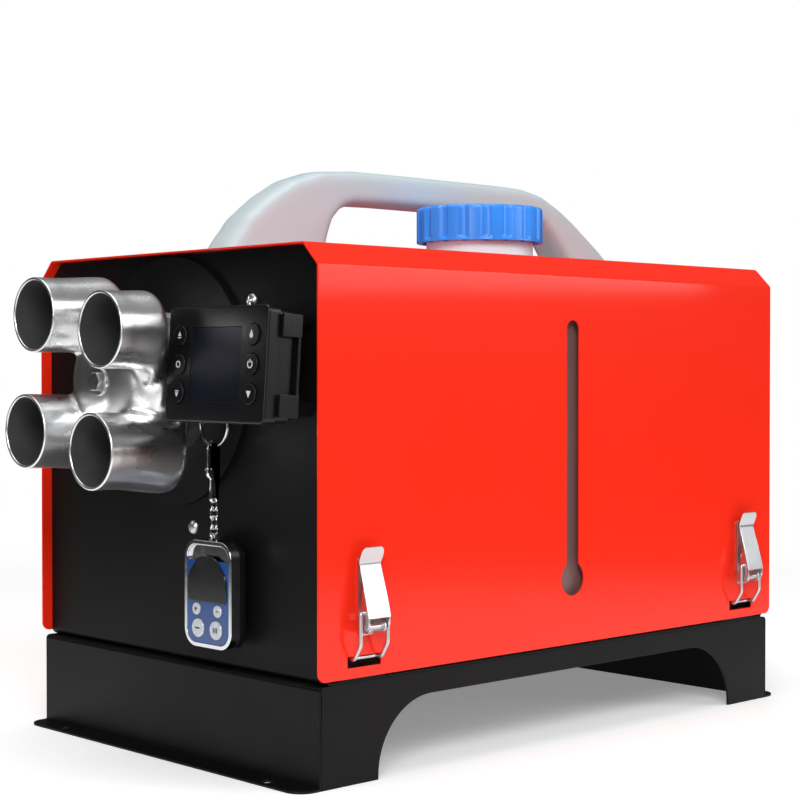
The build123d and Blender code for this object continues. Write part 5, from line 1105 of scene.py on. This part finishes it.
# ---------------------------------------------------------------- toggle latches
# Pressed, zinc plated steel: a base plate riveted to the cover with two ears and a pin, a channel
# lever with a curled finger end, and a wire bail that hooks into the slot below.
COVER_HALF_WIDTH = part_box("cover_shell")[1][0]
PLATE_SHEET = 1.5 * MM
PLATE_HALF_WIDTH = 8.5 * MM
plates_low, plates_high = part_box("latch_plates")
LATCH_Y = (plates_high[1] - plates_low[1]) / 2 - PLATE_HALF_WIDTH
PLATE_NARROWING = 0.66
plate_shape = rounded_copy("latch_plates", 0.3 * MM, 40)
for vert in plate_shape.verts:
    if abs(vert.co.x) < COVER_HALF_WIDTH + PLATE_SHEET + 0.1 * MM:
        middle = math.copysign(LATCH_Y, vert.co.y)
        vert.co.y = middle + (vert.co.y - middle) * PLATE_NARROWING
plate_mesh = shaded("latch_base_plates", plate_shape)
add_piece("latch_base_plates", plate_mesh, zinc, "casing", "zinc_steel", "latch_plates")

LEVER_SHEET = 1.1 * MM
LEVER_ABOVE_PIN = 42.5 * MM
LEVER_BEYOND_PIN = 6.2 * MM
CHEEK_REACH = 7.85 * MM
EDGE_TUCK = 0.35 * MM
# up from the pin, out from the pin and half width, from the open lower end to the rounded tip
LEVER_ROWS = ((5.2, 4.6, 8.1), (12, 3.1, 8.0), (20, 0.9, 7.8), (27, -1.3, 7.6), (31.5, -2.6, 7.5),
              (33.2, -3.0, 7.6), (34.4, -2.9, 7.9), (36.0, -2.2, 8.15), (38.4, -1.2, 8.2), (40.3, -0.6, 7.9),
              (41.6, -0.3, 7.1), (42.3, -0.15, 5.6))
LEVER_COLUMNS = (-1.0, -0.97, -0.85, -0.4, 0.0, 0.4, 0.85, 0.97, 1.0)
CHEEK_OUTLINE = ((4.1, 5.6), (4.0, 1.2), (2.9, -1.0), (0.8, -2.2), (-1.0, -2.2), (-2.4, -1.0), (-2.6, 8),
                 (-2.2, 11.2), (-0.9, 19), (-0.4, 21), (0.1, 20.5), (2.3, 12.2))


def pressed_lever(name, centre, pin_x, pin_z):
    """Sheet lever with eased long edges and a rounded tip, and a cheek down each side of its lower end."""
    side = math.copysign(1, centre.x)
    sheet = bmesh.new()
    rows = []
    for rise, out_by, half in LEVER_ROWS:
        rows.append([sheet.verts.new((side * (pin_x + out_by * MM - (EDGE_TUCK if abs(c) > 0.99 else 0.0)),
                                      centre.y + c * half * MM, pin_z + rise * MM)) for c in LEVER_COLUMNS])
    for first, second in zip(rows, rows[1:]):
        for k in range(len(LEVER_COLUMNS) - 1):
            sheet.faces.new((first[k], first[k + 1], second[k + 1], second[k]))
    bmesh.ops.recalc_face_normals(sheet, faces=sheet.faces)
    if sum(face.normal.x * side for face in sheet.faces) < 0:
        bmesh.ops.reverse_faces(sheet, faces=sheet.faces)
    web = settled(name, as_mesh(name, sheet), [("SOLIDIFY", {"thickness": LEVER_SHEET, "offset": -1}),
                               ("BEVEL", {"width": 0.25 * MM, "segments": 2, "limit_method": "ANGLE",
                                          "angle_limit": math.radians(50)}),
                               ("SUBSURF", {"levels": 1, "render_levels": 1})])
    whole = bmesh.new()
    whole.from_mesh(web)
    for end in (-1, 1):
        outer = centre.y + end * CHEEK_REACH
        loop = [whole.verts.new((side * (pin_x + x * MM), outer, pin_z + z * MM)) for x, z in CHEEK_OUTLINE]
        plate = whole.faces.new(loop)
        for vert in pushed(whole, plate):
            vert.co.y -= end * LEVER_SHEET
    bmesh.ops.recalc_face_normals(whole, faces=whole.faces)
    return whole


for number in range(1, 5):
    lever = f"latch_lever_{number}"
    lever_low, lever_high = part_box(lever)
    pin_reach = max(abs(lever_low[0]), abs(lever_high[0])) - LEVER_BEYOND_PIN
    shape = pressed_lever(lever, centre_of(lever), pin_reach, lever_high[2] - LEVER_ABOVE_PIN)
    add_piece(f"pressed_{lever}", shaded(lever, shape), zinc, lever, "zinc_steel", lever)
    dress(f"latch_bail_{number}", zinc)
dress("latch_catches", black_powder)

RIVET_SIZES = {"Head Radius": 2.6 * MM, "Head Height": 1.35 * MM}
rivet_tree, rivet_ids, given, out = geometry_tree("rivet_heads", RIVET_SIZES)
size = given.outputs
ball = step(rivet_tree, "GeometryNodeMeshUVSphere", {"Segments": 24, "Rings": 12, "Radius": 1.0})
stretch = triple(rivet_tree, size["Head Height"], size["Head Radius"], size["Head Radius"])
rivets = copies(rivet_tree, size["Geometry"], ball, Scale=stretch)
finish_tree(rivet_tree, out, rivets, zinc)
RIVET_RISES = (18.0 * MM, 33.0 * MM)
rivet_places = [(side * (COVER_HALF_WIDTH + PLATE_SHEET), end * LATCH_Y, plates_low[2] + rise)
                for side in (-1, 1) for end in (-1, 1) for rise in RIVET_RISES]
add_piece("latch_rivets", grown("latch_rivets", rivet_places, rivet_tree, rivet_ids, RIVET_SIZES), zinc,
          "casing", "zinc_steel")


# ---------------------------------------------------------------- rear panel
# A round black grille over the warm-air intake, of wire hoops on spokes inside a moulded rim, and
# the gland for the power cable.
add_rounded("cable_gland", "power_gland", 0.35 * MM, moulded_black, "black_plastic", least_angle=40)
RIM_DEPTH = 4.0 * MM
GRILLE_SIZES = {"Inner Radius": 45.5 * MM, "Hoops": 3, "Spokes": 6, "Bar Radius": 1.2 * MM,
                "Rim Radius": 47.5 * MM, "Rim Half Width": 2.4 * MM}
grille_tree, grille_ids, given, out = geometry_tree("intake_grille", GRILLE_SIZES)
size = given.outputs
centres = step(grille_tree, "GeometryNodeMeshLine", {"Count": size["Hoops"], "Offset": (0, 0, 0)})
share = arithmetic(grille_tree, "DIVIDE", size["Inner Radius"], arithmetic(grille_tree, "ADD", size["Hoops"], 0.5))
count = arithmetic(grille_tree, "ADD", step(grille_tree, "GeometryNodeInputIndex"), 1.0)
reach = arithmetic(grille_tree, "MULTIPLY", share, count)
hoops = copies(grille_tree, centres, circle(grille_tree, 72, 1.0), Scale=triple(grille_tree, reach, reach, 1.0))
bar = step(grille_tree, "GeometryNodeCurvePrimitiveLine",
           {"Start": (0, 0, 0), "End": triple(grille_tree, size["Inner Radius"])})
hub = step(grille_tree, "GeometryNodeMeshLine", {"Count": size["Spokes"], "Offset": (0, 0, 0)})
slice_angle = arithmetic(grille_tree, "DIVIDE", math.tau, size["Spokes"])
fan_out = arithmetic(grille_tree, "MULTIPLY", step(grille_tree, "GeometryNodeInputIndex"), slice_angle)
spokes = copies(grille_tree, hub, bar, Rotation=triple(grille_tree, z=fan_out))
loose = step(grille_tree, "GeometryNodeRealizeInstances", {"Geometry": joined(grille_tree, hoops, spokes)})
bars = swept(grille_tree, loose, circle(grille_tree, 10, size["Bar Radius"]), True)
rim_full = arithmetic(grille_tree, "MULTIPLY", size["Rim Half Width"], 2.0)
section = step(grille_tree, "GeometryNodeCurvePrimitiveQuadrilateral", {0: rim_full, 1: RIM_DEPTH})
eased = step(grille_tree, "GeometryNodeFilletCurve", {"Curve": section, "Radius": 0.8 * MM, "Count": 4},
             mode="POLY")
rim = swept(grille_tree, circle(grille_tree, 96, size["Rim Radius"]), eased)
finish_tree(grille_tree, out, joined(grille_tree, bars, rim), moulded_black)
grille_mesh = grown("intake_grille", [(0, 0, 0)], grille_tree, grille_ids, GRILLE_SIZES)
grille_centre = centre_of("intake_grille")
grille_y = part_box("intake_grille")[1][1] - RIM_DEPTH / 2
grille_mesh.transform(Matrix.Translation((grille_centre.x, grille_y, grille_centre.z))
                      @ Matrix.Rotation(math.pi / 2, 4, "X"))
add_piece("wire_grille", grille_mesh, moulded_black, "casing", "black_plastic", "intake_grille")
